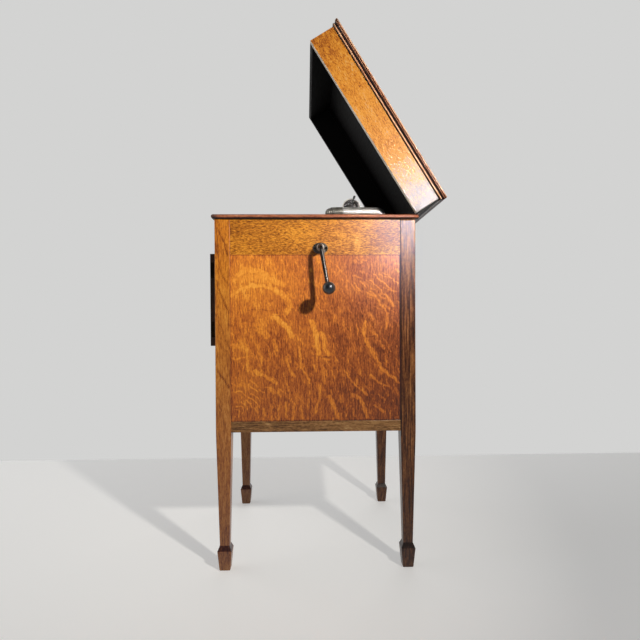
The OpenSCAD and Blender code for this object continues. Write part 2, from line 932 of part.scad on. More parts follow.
// The bottom plate carries the crank shaft's inner bearing and the governor's two brackets
module motor_bottom_plate() {
    lug_x = [96, 102];
    lug_r = 10;
    wing = [-86, 40, 8];
    color(steel)
        placed()
            difference() {
                union() {
                    translate([0, 0, bottom_plate_z])
                        linear_extrude(plate_t) {
                            plate_outline();
                            for (y = governor_y)
                                translate([wing[0], y - wing[2] / 2]) square([wing[1], wing[2]]);
                        }
                    block([lug_x[0], crank_y - lug_r, bottom_plate_z + 1],
                          [lug_x[1], crank_y + lug_r, crank_z]);
                    disc_x(lug_x[0], lug_x[1], crank_y, crank_z, lug_r);
                }
                disc_x(lug_x[0] - 1, lug_x[1] + 1, crank_y, crank_z, shaft_r + pin_gap);
                bottom_plate_bearing(spindle_at, 4.01);
                bottom_plate_bearing(barrel_at, arbor_end_r + pin_gap);
                bottom_plate_bearing(middle_at, middle_end_r + pin_gap);
            }
}

// Pillars between the plates, and the bolts with their spacers and heads
module motor_pillars() {
    pillar_r = 4;
    spacer_r = 6;
    head = [5, 2.5];
    color(steel)
        placed() {
            for (p = pillars) post(p, bottom_plate_z + plate_t, top_plate_z, pillar_r);
            for (b = bolts) {
                post(b, top_plate_z + plate_t, board_low_z, spacer_r);
                post(b, top_plate_z, board_z, bolt_r);
                post(b, board_z, board_z + head[1], head[0]);
            }
        }
}

module governor_bracket() {
    half_w = 9;
    half_t = 2;
    color(steel)
        placed()
            for (y = governor_y)
                difference() {
                    block([governor_at_x - half_w, y - half_t, bottom_plate_z + plate_t],
                          [governor_at_x + half_w, y + half_t, governor_z + 8]);
                    translate([governor_at_x, y - half_t - 1, governor_z])
                        rotate([-90, 0, 0]) cylinder(h = 2 * half_t + 2, r = governor_shaft_r + pin_gap);
                }
}

// An upright shaft of the motor, turned down at both ends for its bearings
module motor_shaft(end_r, r) {
    translate([0, 0, bottom_plate_z + 1]) cylinder(h = top_plate_z - bottom_plate_z + 1, r = end_r);
    translate([0, 0, bottom_plate_z + plate_t + fit_gap])
        cylinder(h = top_plate_z - bottom_plate_z - plate_t - 2 * fit_gap, r = r);
}

module intermediate_gear() {
    color(brass)
        placed()
            translate([middle_at[0], middle_at[1], 0]) {
                motor_shaft(middle_end_r, 4);
                translate([0, 0, middle_z]) gear(middle_teeth, module_mm, middle_turn, mesh_t);
                translate([0, 0, mesh_low_z - 2]) gear(pinion_teeth, module_mm, middle_turn, mesh_t + 4);
            }
}

// Mainspring barrel: a drum with a toothed cover
module spring_barrel() {
    drum_r = 42;
    wall = 2;
    color(brass)
        placed()
            translate([barrel_at[0], barrel_at[1], 0])
                difference() {
                    union() {
                        translate([0, 0, barrel_z]) cylinder(h = mesh_low_z - barrel_z, r = drum_r);
                        translate([0, 0, mesh_low_z]) gear(barrel_teeth, module_mm, barrel_turn, mesh_t);
                    }
                    translate([0, 0, barrel_z + wall])
                        cylinder(h = mesh_low_z - barrel_z - wall, r = drum_r - wall);
                    translate([0, 0, barrel_z - 1])
                        cylinder(h = mesh_low_z + mesh_t - barrel_z + 2, r = arbor_r + pin_gap);
                }
}

// Mainspring: a ribbon wound from the arbor's hook to the drum's wall
spring_turns = 9;
spring_t = 0.9;
spring_h = 16;
spring_r = [7, 38];
turn_steps = 20;
function spiral(inset) = [
    for (i = [0 : spring_turns * turn_steps])
        let (a = i * 360 / turn_steps,
             r = spring_r[0] + (spring_r[1] - spring_r[0]) * i / (spring_turns * turn_steps) + inset)
            [r * cos(a), r * sin(a)]];
function backward(v) = [for (i = [len(v) - 1 : -1 : 0]) v[i]];

module mainspring() {
    color(steel)
        placed()
            translate([barrel_at[0], barrel_at[1], barrel_z + 3.5])
                linear_extrude(spring_h) polygon(concat(spiral(0), backward(spiral(spring_t))));
}

// Arbor with the crown wheel that the crank's pinion turns
crown_gap_z = crank_z + winder_r + 0.8 * module_mm + fit_gap;
crown_tip_z = crank_z + winder_r - 1.15 * module_mm + 0.6;

module winding_arbor() {
    disc = [wheel_r + 4.5, 2.6];
    tooth_size = [7, 0.9];
    color(steel)
        placed()
            translate([barrel_at[0], barrel_at[1], 0]) {
                motor_shaft(arbor_end_r, arbor_r);
                translate([0, 0, crown_gap_z]) cylinder(h = disc[1], r = disc[0]);
                for (i = [0 : wheel_teeth - 1])
                    rotate((i + 0.5) * 360 / wheel_teeth)
                        translate([wheel_r - tooth_size[0] / 2, -tooth_size[1] / 2, crown_tip_z])
                            cube([tooth_size[0], tooth_size[1], crown_gap_z - crown_tip_z + 0.5]);
            }
}

// Crank, hanging as it was left. A point of it is given by its distance out from
// the cabinet's side and its distance down the arm from the shaft.
function crank_point(out, down) = [
    side_x + out, crank_y + down * sin(crank_lean), crank_z - down * cos(crank_lean)];

module crank_arm() {
    hub_r = 9;
    hub_end = crank_hub_x + crank_hub_l;
    top = crank_point(crank_out_top, 0);
    tip = crank_point(crank_out_low, crank_arm_l);
    color(black_iron)
        placed() {
            difference() {
                disc_x(crank_hub_x, hub_end, crank_y, crank_z, hub_r);
                disc_x(crank_hub_x - 1, hub_end - 4, crank_y, crank_z, shaft_r);
            }
            rod([hub_end - 1, crank_y, crank_z], top, rod_r);
            translate(top) sphere(r = rod_r + 0.25);
            rod(top, tip, rod_r);
            translate(tip) sphere(r = rod_r + 0.75);
            rod(tip, crank_point(knob_out + knob_pin_l, crank_arm_l), knob_pin_r);
        }
}

module winding_shaft() {
    pinion_x = barrel_at[0] + wheel_r - 4;
    color(steel)
        placed() {
            disc_x(pinion_x, crank_hub_x + crank_hub_l - 4, crank_y, crank_z, shaft_r);
            translate([pinion_x, crank_y, crank_z])
                rotate([0, 90, 0]) gear(winder_teeth, module_mm, 0, 8);
        }
}

module crank_knob() {
    at = crank_point(knob_out, crank_arm_l);
    neck_r = 7;
    color(black_iron)
        placed()
            difference() {
                union() {
                    translate(at) sphere(r = knob_r, $fn = 64);
                    disc_x(at[0] - knob_neck, at[0] - 10, at[1], at[2], neck_r);
                }
                disc_x(at[0] - 2 * knob_r, at[0] + knob_pin_l + 0.1, at[1], at[2],
                       knob_pin_r + pin_gap);
            }
}

// Governor: worm, three sprung weights and a brake disc on one level spindle
module along_governor(y) {
    translate([governor_at_x, y, governor_z]) rotate([-90, 0, 0]) children();
}

module worm_outline() {
    circle(r = 4, $fn = 18);
    for (i = [0 : worm_starts - 1])
        rotate(i * 360 / worm_starts) translate([3.4, 0]) circle(r = 1.6, $fn = 12);
}

module governor_spindle() {
    lead = worm_starts * PI * worm_module;
    worm_l = 16;
    disc = [16, 2];
    shaft_l = governor_y[1] - governor_y[0];
    color(steel)
        placed() {
            along_governor(governor_y[0] - 1.5) cylinder(h = shaft_l + 3, r = governor_shaft_r);
            along_governor(governor_y[0] + 2.3) cylinder(h = shaft_l - 4.6, r = 3);
            along_governor(-worm_l / 2)
                linear_extrude(worm_l, twist = -360 * worm_l / lead, slices = 20) worm_outline();
            along_governor(governor_disc_y) cylinder(h = disc[1], r = disc[0]);
        }
}

// Leaf spring of a weight: a shallow bow between two collars, at radius r from the spindle
function bow_line(bow, r) = [
    for (i = [0 : 12])
        let (k = i / 12) [bow[0] + (bow[1] - bow[0]) * k, r + 5 * sin(180 * k)]];

module governor_weights() {
    bow = [11, 39];
    collar = [6.5, 4];
    leaf_r = [6.2, 6.8];
    weight = [3.6, 8, 14.6];
    color(brass)
        placed() {
            for (y = bow)
                along_governor(y - collar[1] / 2)
                    difference() {
                        cylinder(h = collar[1], r = collar[0]);
                        translate([0, 0, -1]) cylinder(h = collar[1] + 2, r = 3);
                    }
            for (i = [0 : 2])
                along_governor(0)
                    rotate(i * 120) {
                        rotate([90, -90, 0])
                            linear_extrude(4, center = true)
                                polygon(concat(bow_line(bow, leaf_r[0]), backward(bow_line(bow, leaf_r[1]))));
                        translate([weight[1], 0, (bow[0] + bow[1]) / 2])
                            rotate([0, 90, 0]) cylinder(h = weight[2] - weight[1], r = weight[0]);
                    }
        }
}

// Tone arm: up from its base, round an elbow and forward to the soundbox's joint
nose_y = throw_pin[0] + 22;

module tube_path(r) {
    post(pivot, board_z + 4, tube_z - elbow_r, r);
    translate([pivot[0], pivot[1] - elbow_r, tube_z - elbow_r])
        rotate([90, 0, 90])
            rotate_extrude(angle = 90) translate([elbow_r, 0]) circle(r = r);
    translate([pivot[0], pivot[1] - elbow_r, tube_z])
        rotate([90, 0, 0]) cylinder(h = pivot[1] - elbow_r - nose_y, r = r);
}

module tonearm_tube() {
    drum_x = [box_x[1] - 9, pivot[0] + tube_r];
    wall = 2;
    color(nickel)
        placed()
            difference() {
                union() {
                    tube_path(tube_r);
                    post(pivot, board_z + 18.3, board_z + 24, tube_r + 3);
                    hull() {
                        translate([pivot[0], nose_y, tube_z])
                            rotate([90, 0, 0]) cylinder(h = 1, r = tube_r);
                        disc_x(pivot[0] - 12, pivot[0] + 12, throw_pin[0], throw_pin[1], drum_r - 2);
                    }
                    disc_x(drum_x[0], drum_x[1], throw_pin[0], throw_pin[1], drum_r);
                    post(pivot, board_z + 4, board_z + 20, tube_r + 1);
                }
                tube_path(tube_r - wall);
                disc_x(drum_x[0] - 1, pivot[0] + 5, throw_pin[0], throw_pin[1], spigot_r + pin_gap);
            }
}

// Crook: from its spigot in the arm's drum, back to the middle of the soundbox
module tonearm_crook() {
    hinge = [crook_x, throw_pin[0], throw_pin[1]];
    centre = [crook_x, box_at[0], box_at[1]];
    color(nickel)
        placed() {
            disc_x(crook_x, pivot[0] + 4, throw_pin[0], throw_pin[1], spigot_r);
            translate(hinge) sphere(r = spigot_r);
            rod(hinge, centre, spigot_r - 0.5);
            translate(centre) sphere(r = spigot_r);
            disc_x(crook_x, box_x[0], box_at[0], box_at[1], spigot_r);
        }
}

module soundbox_case() {
    back_t = 4;
    color(nickel)
        placed()
            difference() {
                disc_x(box_x[0], box_x[1], box_at[0], box_at[1], soundbox_r);
                disc_x(box_x[0] + back_t, box_x[1] + 1, box_at[0], box_at[1], cover_r);
            }
}

module diaphragm() {
    color("#6a6a66")
        placed() disc_x(box_x[1] - 7, box_x[1] - 6, box_at[0], box_at[1], cover_r);
}

// Soundbox cover: a disc with a hole for the stylus bar and a ring of round openings
module soundbox_cover() {
    holes = 8;
    ring_r = 13.5;
    hole_r = 3;
    centre_r = 3.5;
    color(black_iron)
        placed()
            difference() {
                disc_x(box_x[1] - 3, box_x[1] - 1.2, box_at[0], box_at[1], cover_r);
                disc_x(box_x[1] - 4, box_x[1], box_at[0], box_at[1], centre_r);
                for (i = [0 : holes - 1])
                    let (a = (i + 0.5) * 360 / holes)
                        disc_x(box_x[1] - 4, box_x[1],
                               box_at[0] + ring_r * cos(a), box_at[1] + ring_r * sin(a), hole_r);
            }
}

// Needle clamp on the soundbox's edge, and the bar that carries its movement to the diaphragm
function box_point(x, out) = [
    x, box_at[0] + out * cos(chuck_angle), box_at[1] + out * sin(chuck_angle)];

module stylus_bar() {
    bar_x = chuck_x + 3;
    bar_r = 1.2;
    color(black_iron)
        placed()
            difference() {
                union() {
                    rod(box_point(chuck_x, chuck_from), box_point(chuck_x, chuck_to), chuck_r);
                    rod(box_point(chuck_x, soundbox_r + 4), box_point(chuck_x + 8.5, soundbox_r + 4), 2.6);
                    rod(box_point(bar_x, 0), box_point(bar_x, soundbox_r + 3), bar_r);
                    rod(box_point(box_x[1] - 6, 0), box_point(bar_x, 0), 0.9);
                    translate(box_point(bar_x, 0)) sphere(r = bar_r);
                }
                rod(box_point(chuck_x, chuck_to - 6), box_point(chuck_x, chuck_to + 1), needle_bore_r);
            }
}

// Brake lever: it swings a pad away from the turntable's rim
module brake_lever() {
    rim = platter_r + 0.6;
    pad_half = 4;
    away = heading(spindle_at, brake_pivot) - 6;
    pad = spindle_at + (rim + pad_half) * [cos(away), sin(away)];
    knob = brake_pivot + [38, -14];
    bar_t = 2.5;
    color(nickel)
        placed() {
            post(brake_pivot, board_low_z + 2, board_z + fit_gap, brake_post_r);
            post(brake_pivot, board_z + fit_gap, board_z + 5, 7);
            translate([0, 0, board_z + 1])
                linear_extrude(bar_t) {
                    hull() {
                        translate(brake_pivot) circle(r = 5);
                        translate(pad) circle(r = 3.5);
                    }
                    hull() {
                        translate(brake_pivot) circle(r = 5);
                        translate(knob) circle(r = 3);
                    }
                }
            post(knob, board_z + 2, board_z + 12, 4.5);
            translate([pad[0], pad[1], board_z + 3])
                rotate(away) block([-pad_half, -7, 0], [pad_half, 7, 13]);
        }
}

// Speed lever: its arm under the board moves a felt against the governor's disc
module speed_lever() {
    arm_z = governor_z + 9;
    arm_t = 3;
    tip_x = governor_at_x - 8;
    felt_y = governor_disc_y + 2.5;
    p = speed_pivot;
    color(nickel)
        placed() {
            post(p, arm_z, board_z + fit_gap, speed_post_r);
            post(p, board_z + fit_gap, board_z + 6, 9);
            translate([0, 0, board_z + 2])
                linear_extrude(2.5)
                    hull() {
                        translate(p) circle(r = 6);
                        translate(p + [6, -30]) circle(r = 2.5);
                    }
            block([p[0], p[1] - 3, arm_z], [tip_x + 4, p[1] + 3, arm_z + arm_t]);
            block([tip_x - 4, felt_y, arm_z - 5], [tip_x + 4, p[1], arm_z + arm_t]);
        }
}

cabinet_leg(1, -1);  // leg_front_right
cabinet_leg(-1, -1);  // leg_front_left
cabinet_leg(1, 1);  // leg_rear_right
cabinet_leg(-1, 1);  // leg_rear_left
side_panel(1);  // right_side_panel
side_panel(-1);  // left_side_panel
upper_side_rails();
lower_side_rails();
front_rails();
front_lower_panel();
rear_rails();
back_panel();
cabinet_floor();
deck_moulding();
motor_board();
board_ledgers();
horn_boards();
horn_throat();
horn_louvres();
crank_escutcheon();
escutcheon_screws();
lid_hinge_leaves();
door_hinge_leaves();
stay_guide();
tonearm_base();
motor_top_plate();
motor_bottom_plate();
motor_pillars();
governor_bracket();
lid_front_board();
lid_back_board();
lid_side_boards();
lid_top_board();
lid_moulding();
lid_hinge_flaps();
lid_stay();
door(0);  // right_door
door(1);  // left_door
door_flaps(0);  // right_door_flaps
door_flaps(1);  // left_door_flaps
platter();
felt_mat();
spindle();
intermediate_gear();
spring_barrel();
mainspring();
winding_arbor();
crank_arm();
winding_shaft();
crank_knob();
governor_spindle();
governor_weights();
tonearm_tube();
tonearm_crook();
soundbox_case();
diaphragm();
soundbox_cover();
stylus_bar();
brake_lever();
speed_lever();
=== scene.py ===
import json
import math
import bmesh
import bpy
import numpy as np
from mathutils import Matrix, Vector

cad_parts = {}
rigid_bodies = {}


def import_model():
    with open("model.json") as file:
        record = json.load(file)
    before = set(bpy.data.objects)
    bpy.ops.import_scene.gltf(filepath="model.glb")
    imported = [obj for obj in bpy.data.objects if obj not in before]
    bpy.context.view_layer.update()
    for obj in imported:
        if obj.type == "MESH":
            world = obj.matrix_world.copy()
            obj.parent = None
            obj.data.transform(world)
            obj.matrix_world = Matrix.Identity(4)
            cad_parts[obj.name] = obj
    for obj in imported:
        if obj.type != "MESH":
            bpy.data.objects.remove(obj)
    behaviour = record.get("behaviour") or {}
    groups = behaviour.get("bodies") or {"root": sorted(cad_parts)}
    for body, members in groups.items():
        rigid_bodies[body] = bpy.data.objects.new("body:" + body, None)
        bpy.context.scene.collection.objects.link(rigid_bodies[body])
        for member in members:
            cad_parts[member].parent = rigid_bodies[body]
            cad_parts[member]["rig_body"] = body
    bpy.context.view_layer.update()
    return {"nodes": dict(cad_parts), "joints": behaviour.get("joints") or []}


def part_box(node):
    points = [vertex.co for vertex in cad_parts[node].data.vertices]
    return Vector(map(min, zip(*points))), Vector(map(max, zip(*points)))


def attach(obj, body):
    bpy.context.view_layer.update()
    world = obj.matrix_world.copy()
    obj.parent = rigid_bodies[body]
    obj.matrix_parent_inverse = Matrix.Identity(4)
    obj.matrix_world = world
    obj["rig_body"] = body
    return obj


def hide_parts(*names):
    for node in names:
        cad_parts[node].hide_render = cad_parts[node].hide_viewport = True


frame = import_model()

print("frame loaded with", len(frame["nodes"]), "nodes")

# Pieces are worked out in millimetres about the cabinet's centre, on the floor, and
# place() carries them to metres in the frame.
mm = 0.001
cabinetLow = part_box("leg_front_left")[0]
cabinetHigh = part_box("leg_rear_right")[1]
centre = np.array([(cabinetLow.x + cabinetHigh.x) / 2, (cabinetLow.y + cabinetHigh.y) / 2, 0.0])
halfWide = (cabinetHigh.x - cabinetLow.x) / 2 / mm
halfDeep = (cabinetHigh.y - cabinetLow.y) / 2 / mm
jointNamed = {joint["name"]: joint for joint in frame["joints"]}


def place(points):
    return np.asarray(points, dtype=float) * mm + centre


def unplace(points):
    return (np.asarray(points, dtype=float) - centre) / mm


def jointSpot(name):
    return unplace(jointNamed[name]["pos_m"])


# Low and high corner of a CAD node's box
def nodeBox(name):
    return [unplace(corner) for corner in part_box(name)]


lidAngle = math.radians(max(jointNamed["lid_hinge"]["range_deg"]))
lidHinge = jointSpot("lid_hinge")


# A turn about the hinge line: y and z mixed by the angle's cosine and sine
def turnLid(points, angle):
    arm = np.asarray(points, dtype=float) - lidHinge
    y = arm[..., 1] * math.cos(angle) + arm[..., 2] * math.sin(angle)
    z = arm[..., 2] * math.cos(angle) - arm[..., 1] * math.sin(angle)
    return np.stack([arm[..., 0], y, z], -1) + lidHinge


def addObject(name, data):
    made = bpy.data.objects.new(name, data)
    bpy.context.scene.collection.objects.link(made)
    return made


# An object's own axes are its right, its up and the reverse of where it looks
def aim(thing, spot, right, up, ahead):
    turned = Matrix(np.array([right, up, -ahead]).T.tolist()).to_4x4()
    thing.matrix_world = Matrix.Translation(place(spot).tolist()) @ turned


# Camera at the photograph's place, as worked out from the cabinet's corners
cameraView = {"spot": (1463.1, -23.9, 640.7), "lens": 27.65, "yaw": 0.028, "pitch": 0.011, "roll": -0.005}
yaw, pitch, roll = [cameraView[key] for key in ("yaw", "pitch", "roll")]
ahead = np.array([-math.cos(yaw) * math.cos(pitch), math.sin(yaw) * math.cos(pitch), -math.sin(pitch)])
level = np.array([math.sin(yaw), math.cos(yaw), 0.0])
above = np.cross(level, ahead)
cameraData = bpy.data.cameras.new("camera")
cameraData.sensor_width = 36.0
cameraData.lens = cameraView["lens"]
cameraData.clip_end = 50.0
camera = addObject("camera", cameraData)
aim(camera, cameraView["spot"], level * math.cos(roll) + above * math.sin(roll),
    above * math.cos(roll) - level * math.sin(roll), ahead)
bpy.context.scene.camera = camera
bpy.context.scene.view_settings.view_transform = "Standard"
print("camera placed")


# sRGB hex to linear colour
def hexColour(text):
    values = [int(text[i:i + 2], 16) / 255 for i in (1, 3, 5)]
    linear = [v / 12.92 if v <= 0.04045 else ((v + 0.055) / 1.055) ** 2.4 for v in values]
    return (*linear, 1.0)


# One shader node: settings go to its properties or input sockets, and links join its inputs
# to outputs, or to the first output of a node
def addNode(tree, kind, settings=None, links=None):
    made = tree.nodes.new("ShaderNode" + kind)
    for name, value in (settings or {}).items():
        if isinstance(name, str) and hasattr(made, name):
            setattr(made, name, value)
        else:
            made.inputs[name].default_value = value
    for name, source in (links or {}).items():
        tree.links.new(getattr(source, "outputs", [source])[0], made.inputs[name])
    return made


def startTree(owner):
    owner.use_nodes = True
    owner.node_tree.nodes.clear()
    return owner.node_tree


# Colours from dark to pale, at five places of a ramp unless others are given
def rampStops(colours, places=(0.0, 0.3, 0.55, 0.8, 1.0)):
    return list(zip(places, colours.split()))


# Colour stops of a ramp, as (place, hex colour) pairs
def setStops(ramp, stops):
    while len(ramp.elements) < len(stops):
        ramp.elements.new(0.5)
    for element, (spot, colour) in zip(ramp.elements, stops):
        element.position = spot
        element.color = hexColour(colour)


# End of a material: roughness swings with one noise, which lies mostly between 0.3 and 0.7,
# and the bump follows another pattern
def endMaterial(tree, look, shaderSettings, colour, glossPattern, relief):
    roughness = addNode(tree, "MapRange", {
        "From Min": 0.3, "From Max": 0.7, "To Min": look["roughness"] - look["spread"],
        "To Max": look["roughness"] + look["spread"]}, {"Value": glossPattern})
    bump = addNode(tree, "Bump", {"Strength": look["bump"], "Distance": look["relief"] * mm},
                   {"Height": relief})
    shader = addNode(tree, "BsdfPrincipled", shaderSettings,
                     {"Base Color": colour, "Roughness": roughness, "Normal": bump})
    addNode(tree, "OutputMaterial", links={"Surface": shader})


# Sizes of the grain's layers in millimetres: across, across and along the board.
# Real pores are 0.3 mm wide, under an eighth of a pixel, so they are drawn 1.3 mm wide.
grainSizes = {
    "drift": (60, 60, 300), "bend": (48, 48, 300), "streak": (2.9, 2.9, 34),
    "pore": (1.3, 1.3, 10), "speckle": (4.2, 4.2, 7), "flake": (10, 10, 46)}
grainWeights = {"drift": 0.5, "streak": 0.9, "speckle": 0.5, "pore": -0.2, "line": -0.14, "flake": 0.2}
# What an oak look has unless it says otherwise. Shade: between two heights in metres the
# colour goes from a share of itself to the whole, darker towards the floor, partly as dirt and
# partly as painted shade of the light falling off downwards.
oakDefaults = {
    "turn": (0, 0, 0), "sizes": {}, "weights": {}, "attributes": {}, "stainsAndPaintedLight": [], "tone": 0.5,
    "lineRun": (0.1, 0.1, 0.0), "lineBend": 4.0, "shade": (0.30, 0.80, 1.0), "coat": 0.35,
    "specular": 0.3, "roughness": 0.36, "spread": 0.07, "bump": 0.35, "relief": 0.4}
oakPattern = {
    "flakeSlant": (0.5, 0, 0), "lineEdge": 6.0, "pore": (0.5, 0.68), "flake": (0.56, 0.68),
    "stainCore": 0.3, "poreDepth": -0.6, "coatRoughness": 0.26, "ior": 1.5}


# Oak: open-pored wood that was planed, stained and shellacked. Dark pores run along the
# grain, growth lines bend slowly, and quarter-sawn faces show pale glossy ray flakes.
# One tone is added up from all layers, and a ramp turns it into colour.
def oakMaterial(name, look):
    look = {**oakDefaults, **look}
    material = bpy.data.materials.new(name)
    tree = startTree(material)
    spot = addNode(tree, "TexCoord").outputs["Object"]
    grain = addNode(tree, "Mapping", {"Rotation": look["turn"], "Scale": (1 / mm,) * 3}, {"Vector": spot})
    slanted = addNode(tree, "Mapping", {"Rotation": oakPattern["flakeSlant"]}, {"Vector": grain})
    layer = {}
    for index, (kind, size) in enumerate({**grainSizes, **look["sizes"]}.items()):
        # each layer is moved away from the others, so that no two show the same noise
        stretched = addNode(tree, "VectorMath", {"operation": "MULTIPLY", 1: tuple(1 / s for s in size)},
                            {0: slanted if kind == "flake" else grain})
        moved = addNode(tree, "VectorMath", {"operation": "ADD", 1: (index * 7.3, index * 3.1, 0)},
                        {0: stretched})
        layer[kind] = addNode(tree, "TexNoise", {"Scale": 1.0, "Detail": 2.0, "Roughness": 0.55},
                              {"Vector": moved})

    # Growth lines: a slanted distance bent by noise. Each turn darkens slowly and ends sharply.
    run = addNode(tree, "VectorMath", {"operation": "DOT_PRODUCT", 1: look["lineRun"]}, {0: grain})
    bent = addNode(tree, "Math", {"operation": "MULTIPLY_ADD", 1: look["lineBend"]},
                   {0: layer["bend"], 2: run.outputs["Value"]})
    wave = addNode(tree, "Math", {"operation": "FRACT"}, {0: bent})
    layer["line"] = addNode(tree, "Math", {"operation": "POWER", 1: oakPattern["lineEdge"]}, {0: wave})
    for kind, curve in (("pore", "LINEAR"), ("flake", "SMOOTHSTEP")):
        low, high = oakPattern[kind]
        layer[kind] = addNode(tree, "MapRange", {
            "From Min": low, "From Max": high, "interpolation_type": curve}, {"Value": layer[kind]})

    weight = {**grainWeights, **look["weights"], **look["attributes"]}
    for kind in look["attributes"]:
        layer[kind] = addNode(tree, "Attribute", {"attribute_name": kind}).outputs["Fac"]
    # noise lies around a half, so half of each noise's weight is taken off the tone
    tone = addNode(tree, "Value")
    tone.outputs[0].default_value = look["tone"] - 0.5 * (
        weight["drift"] + weight["streak"] + weight["speckle"])
    for kind, amount in weight.items():
        tone = addNode(tree, "Math", {"operation": "MULTIPLY_ADD", 1: amount}, {0: layer[kind], 2: tone})
    # Stains, pale spots, painted sheen and painted shade: soft ellipsoids, one at their middle and nothing at
    # their edge
    for middle, half, amount in look["stainsAndPaintedLight"]:
        offset = addNode(tree, "VectorMath", {"operation": "SUBTRACT", 1: tuple(place(middle))}, {0: spot})
        scaled = addNode(tree, "VectorMath", {
            "operation": "MULTIPLY", 1: tuple(1 / (h * mm) for h in half)}, {0: offset})
        away = addNode(tree, "VectorMath", {"operation": "LENGTH"}, {0: scaled}).outputs["Value"]
        inside = addNode(tree, "MapRange", {
            "From Min": 1.0, "From Max": oakPattern["stainCore"], "To Min": 0.0, "To Max": amount,
            "interpolation_type": "SMOOTHSTEP"}, {"Value": away})
        tone = addNode(tree, "Math", {"operation": "ADD"}, {0: inside, 1: tone})
    ramp = addNode(tree, "ValToRGB", links={"Fac": tone})
    setStops(ramp.color_ramp, look["stops"])

    low, high, share = look["shade"]
    share = np.broadcast_to(share, 3)
    height = addNode(tree, "SeparateXYZ", links={"Vector": spot}).outputs["Z"]
    rise = addNode(tree, "MapRange", {"From Min": low, "From Max": high}, {"Value": height})
    fade = addNode(tree, "VectorMath", {
        "operation": "MULTIPLY_ADD", 1: tuple((1 - share).tolist()), 2: tuple(share.tolist())}, {0: rise})
    colour = addNode(tree, "VectorMath", {"operation": "MULTIPLY"}, {0: ramp, 1: fade})
    relief = addNode(tree, "Math", {"operation": "MULTIPLY_ADD", 1: oakPattern["poreDepth"]},
                     {0: layer["pore"], 2: layer["streak"]})
    endMaterial(tree, look, {
        "Coat Weight": look["coat"], "Coat Roughness": oakPattern["coatRoughness"],
        "Coat IOR": oakPattern["ior"], "IOR": oakPattern["ior"], "Specular IOR Level": look["specular"]},
        colour, layer["streak"], relief)
    return material


# Any other finish: two colours mixed by a slow and a fine noise, with uneven gloss. Slow,
# fine and relief are sizes in millimetres.
def surfaceMaterial(name, colours, metallic, roughness, spread, slow, fine, bump, relief=0.1, fineShare=0.4,
                    shader=None):
    material = bpy.data.materials.new(name)
    tree = startTree(material)
    spot = addNode(tree, "TexCoord").outputs["Object"]
    noise = []
    for size in (slow, fine):
        scale = tuple(1 / (s * mm) for s in np.broadcast_to(size, 3).tolist())
        scaled = addNode(tree, "Mapping", {"Scale": scale}, {"Vector": spot})
        noise.append(addNode(tree, "TexNoise", {"Scale": 1.0, "Detail": 3.0}, {"Vector": scaled}))
    both = addNode(tree, "Math", {"operation": "MULTIPLY_ADD", 1: fineShare}, {0: noise[1], 2: noise[0]})
    ramp = addNode(tree, "ValToRGB", links={"Fac": both})
    setStops(ramp.color_ramp, rampStops(colours, (0.45, 0.95)))
    look = {"roughness": roughness, "spread": spread, "bump": bump, "relief": relief}
    endMaterial(tree, look, {"Metallic": metallic, **(shader or {})}, ramp, noise[0], noise[1])
    return material


goldenStops = rampStops("#4A200B #964F16 #CC7C22 #E39C36 #F2B658")
yellowStops = rampStops("#5E2E0C #9E5C18 #CE8526 #E4A036 #F2BA58")
# the pale grey end of this ramp is the painted sheen on the lid's sides
paintedSheenStops = rampStops("#6A3210 #A25A1A #CE8428 #DA983A #C29A74 #8A807A", (0.0, 0.24, 0.44, 0.62, 0.74, 1))
oliveStops = rampStops("#24150A #54361C #8C6238 #AA8050 #C49E6C")
brownStops = rampStops("#1E0E07 #4C2711 #7C451E #A0642E #BE8548")
darkStops = rampStops("#120A07 #21120C #352014 #50331F", (0.0, 0.35, 0.65, 1.0))
reddishStops = rampStops("#160807 #58291A #96563A #BE8260 #E2B890")

# Grain turned along the cabinet's Y and X, and the same on the open lid
alongY = (math.pi / 2, 0, 0)
alongX = (0, -math.pi / 2, 0)
lidAlongY = (math.pi / 2 + lidAngle, 0, 0)
lidAlongX = (lidAngle, -math.pi / 2, 0)
# the mouldings' patina attribute holds painted shade in hollows and under noses and painted highlights on the
# lid moulding, besides dirt
deckMoulding = {"stops": reddishStops, "tone": 0.6, "coat": 0.2, "attributes": {"paintedLightAndPatina": 1.0},
                "weights": {"flake": 0.0, "streak": 0.7, "speckle": 0.3}}
lidMouldings = {"stops": reddishStops, "attributes": {"paintedLightAndPatina": 1.0},
                "weights": {"flake": 0.0, "streak": 0.5, "speckle": 0.3}}

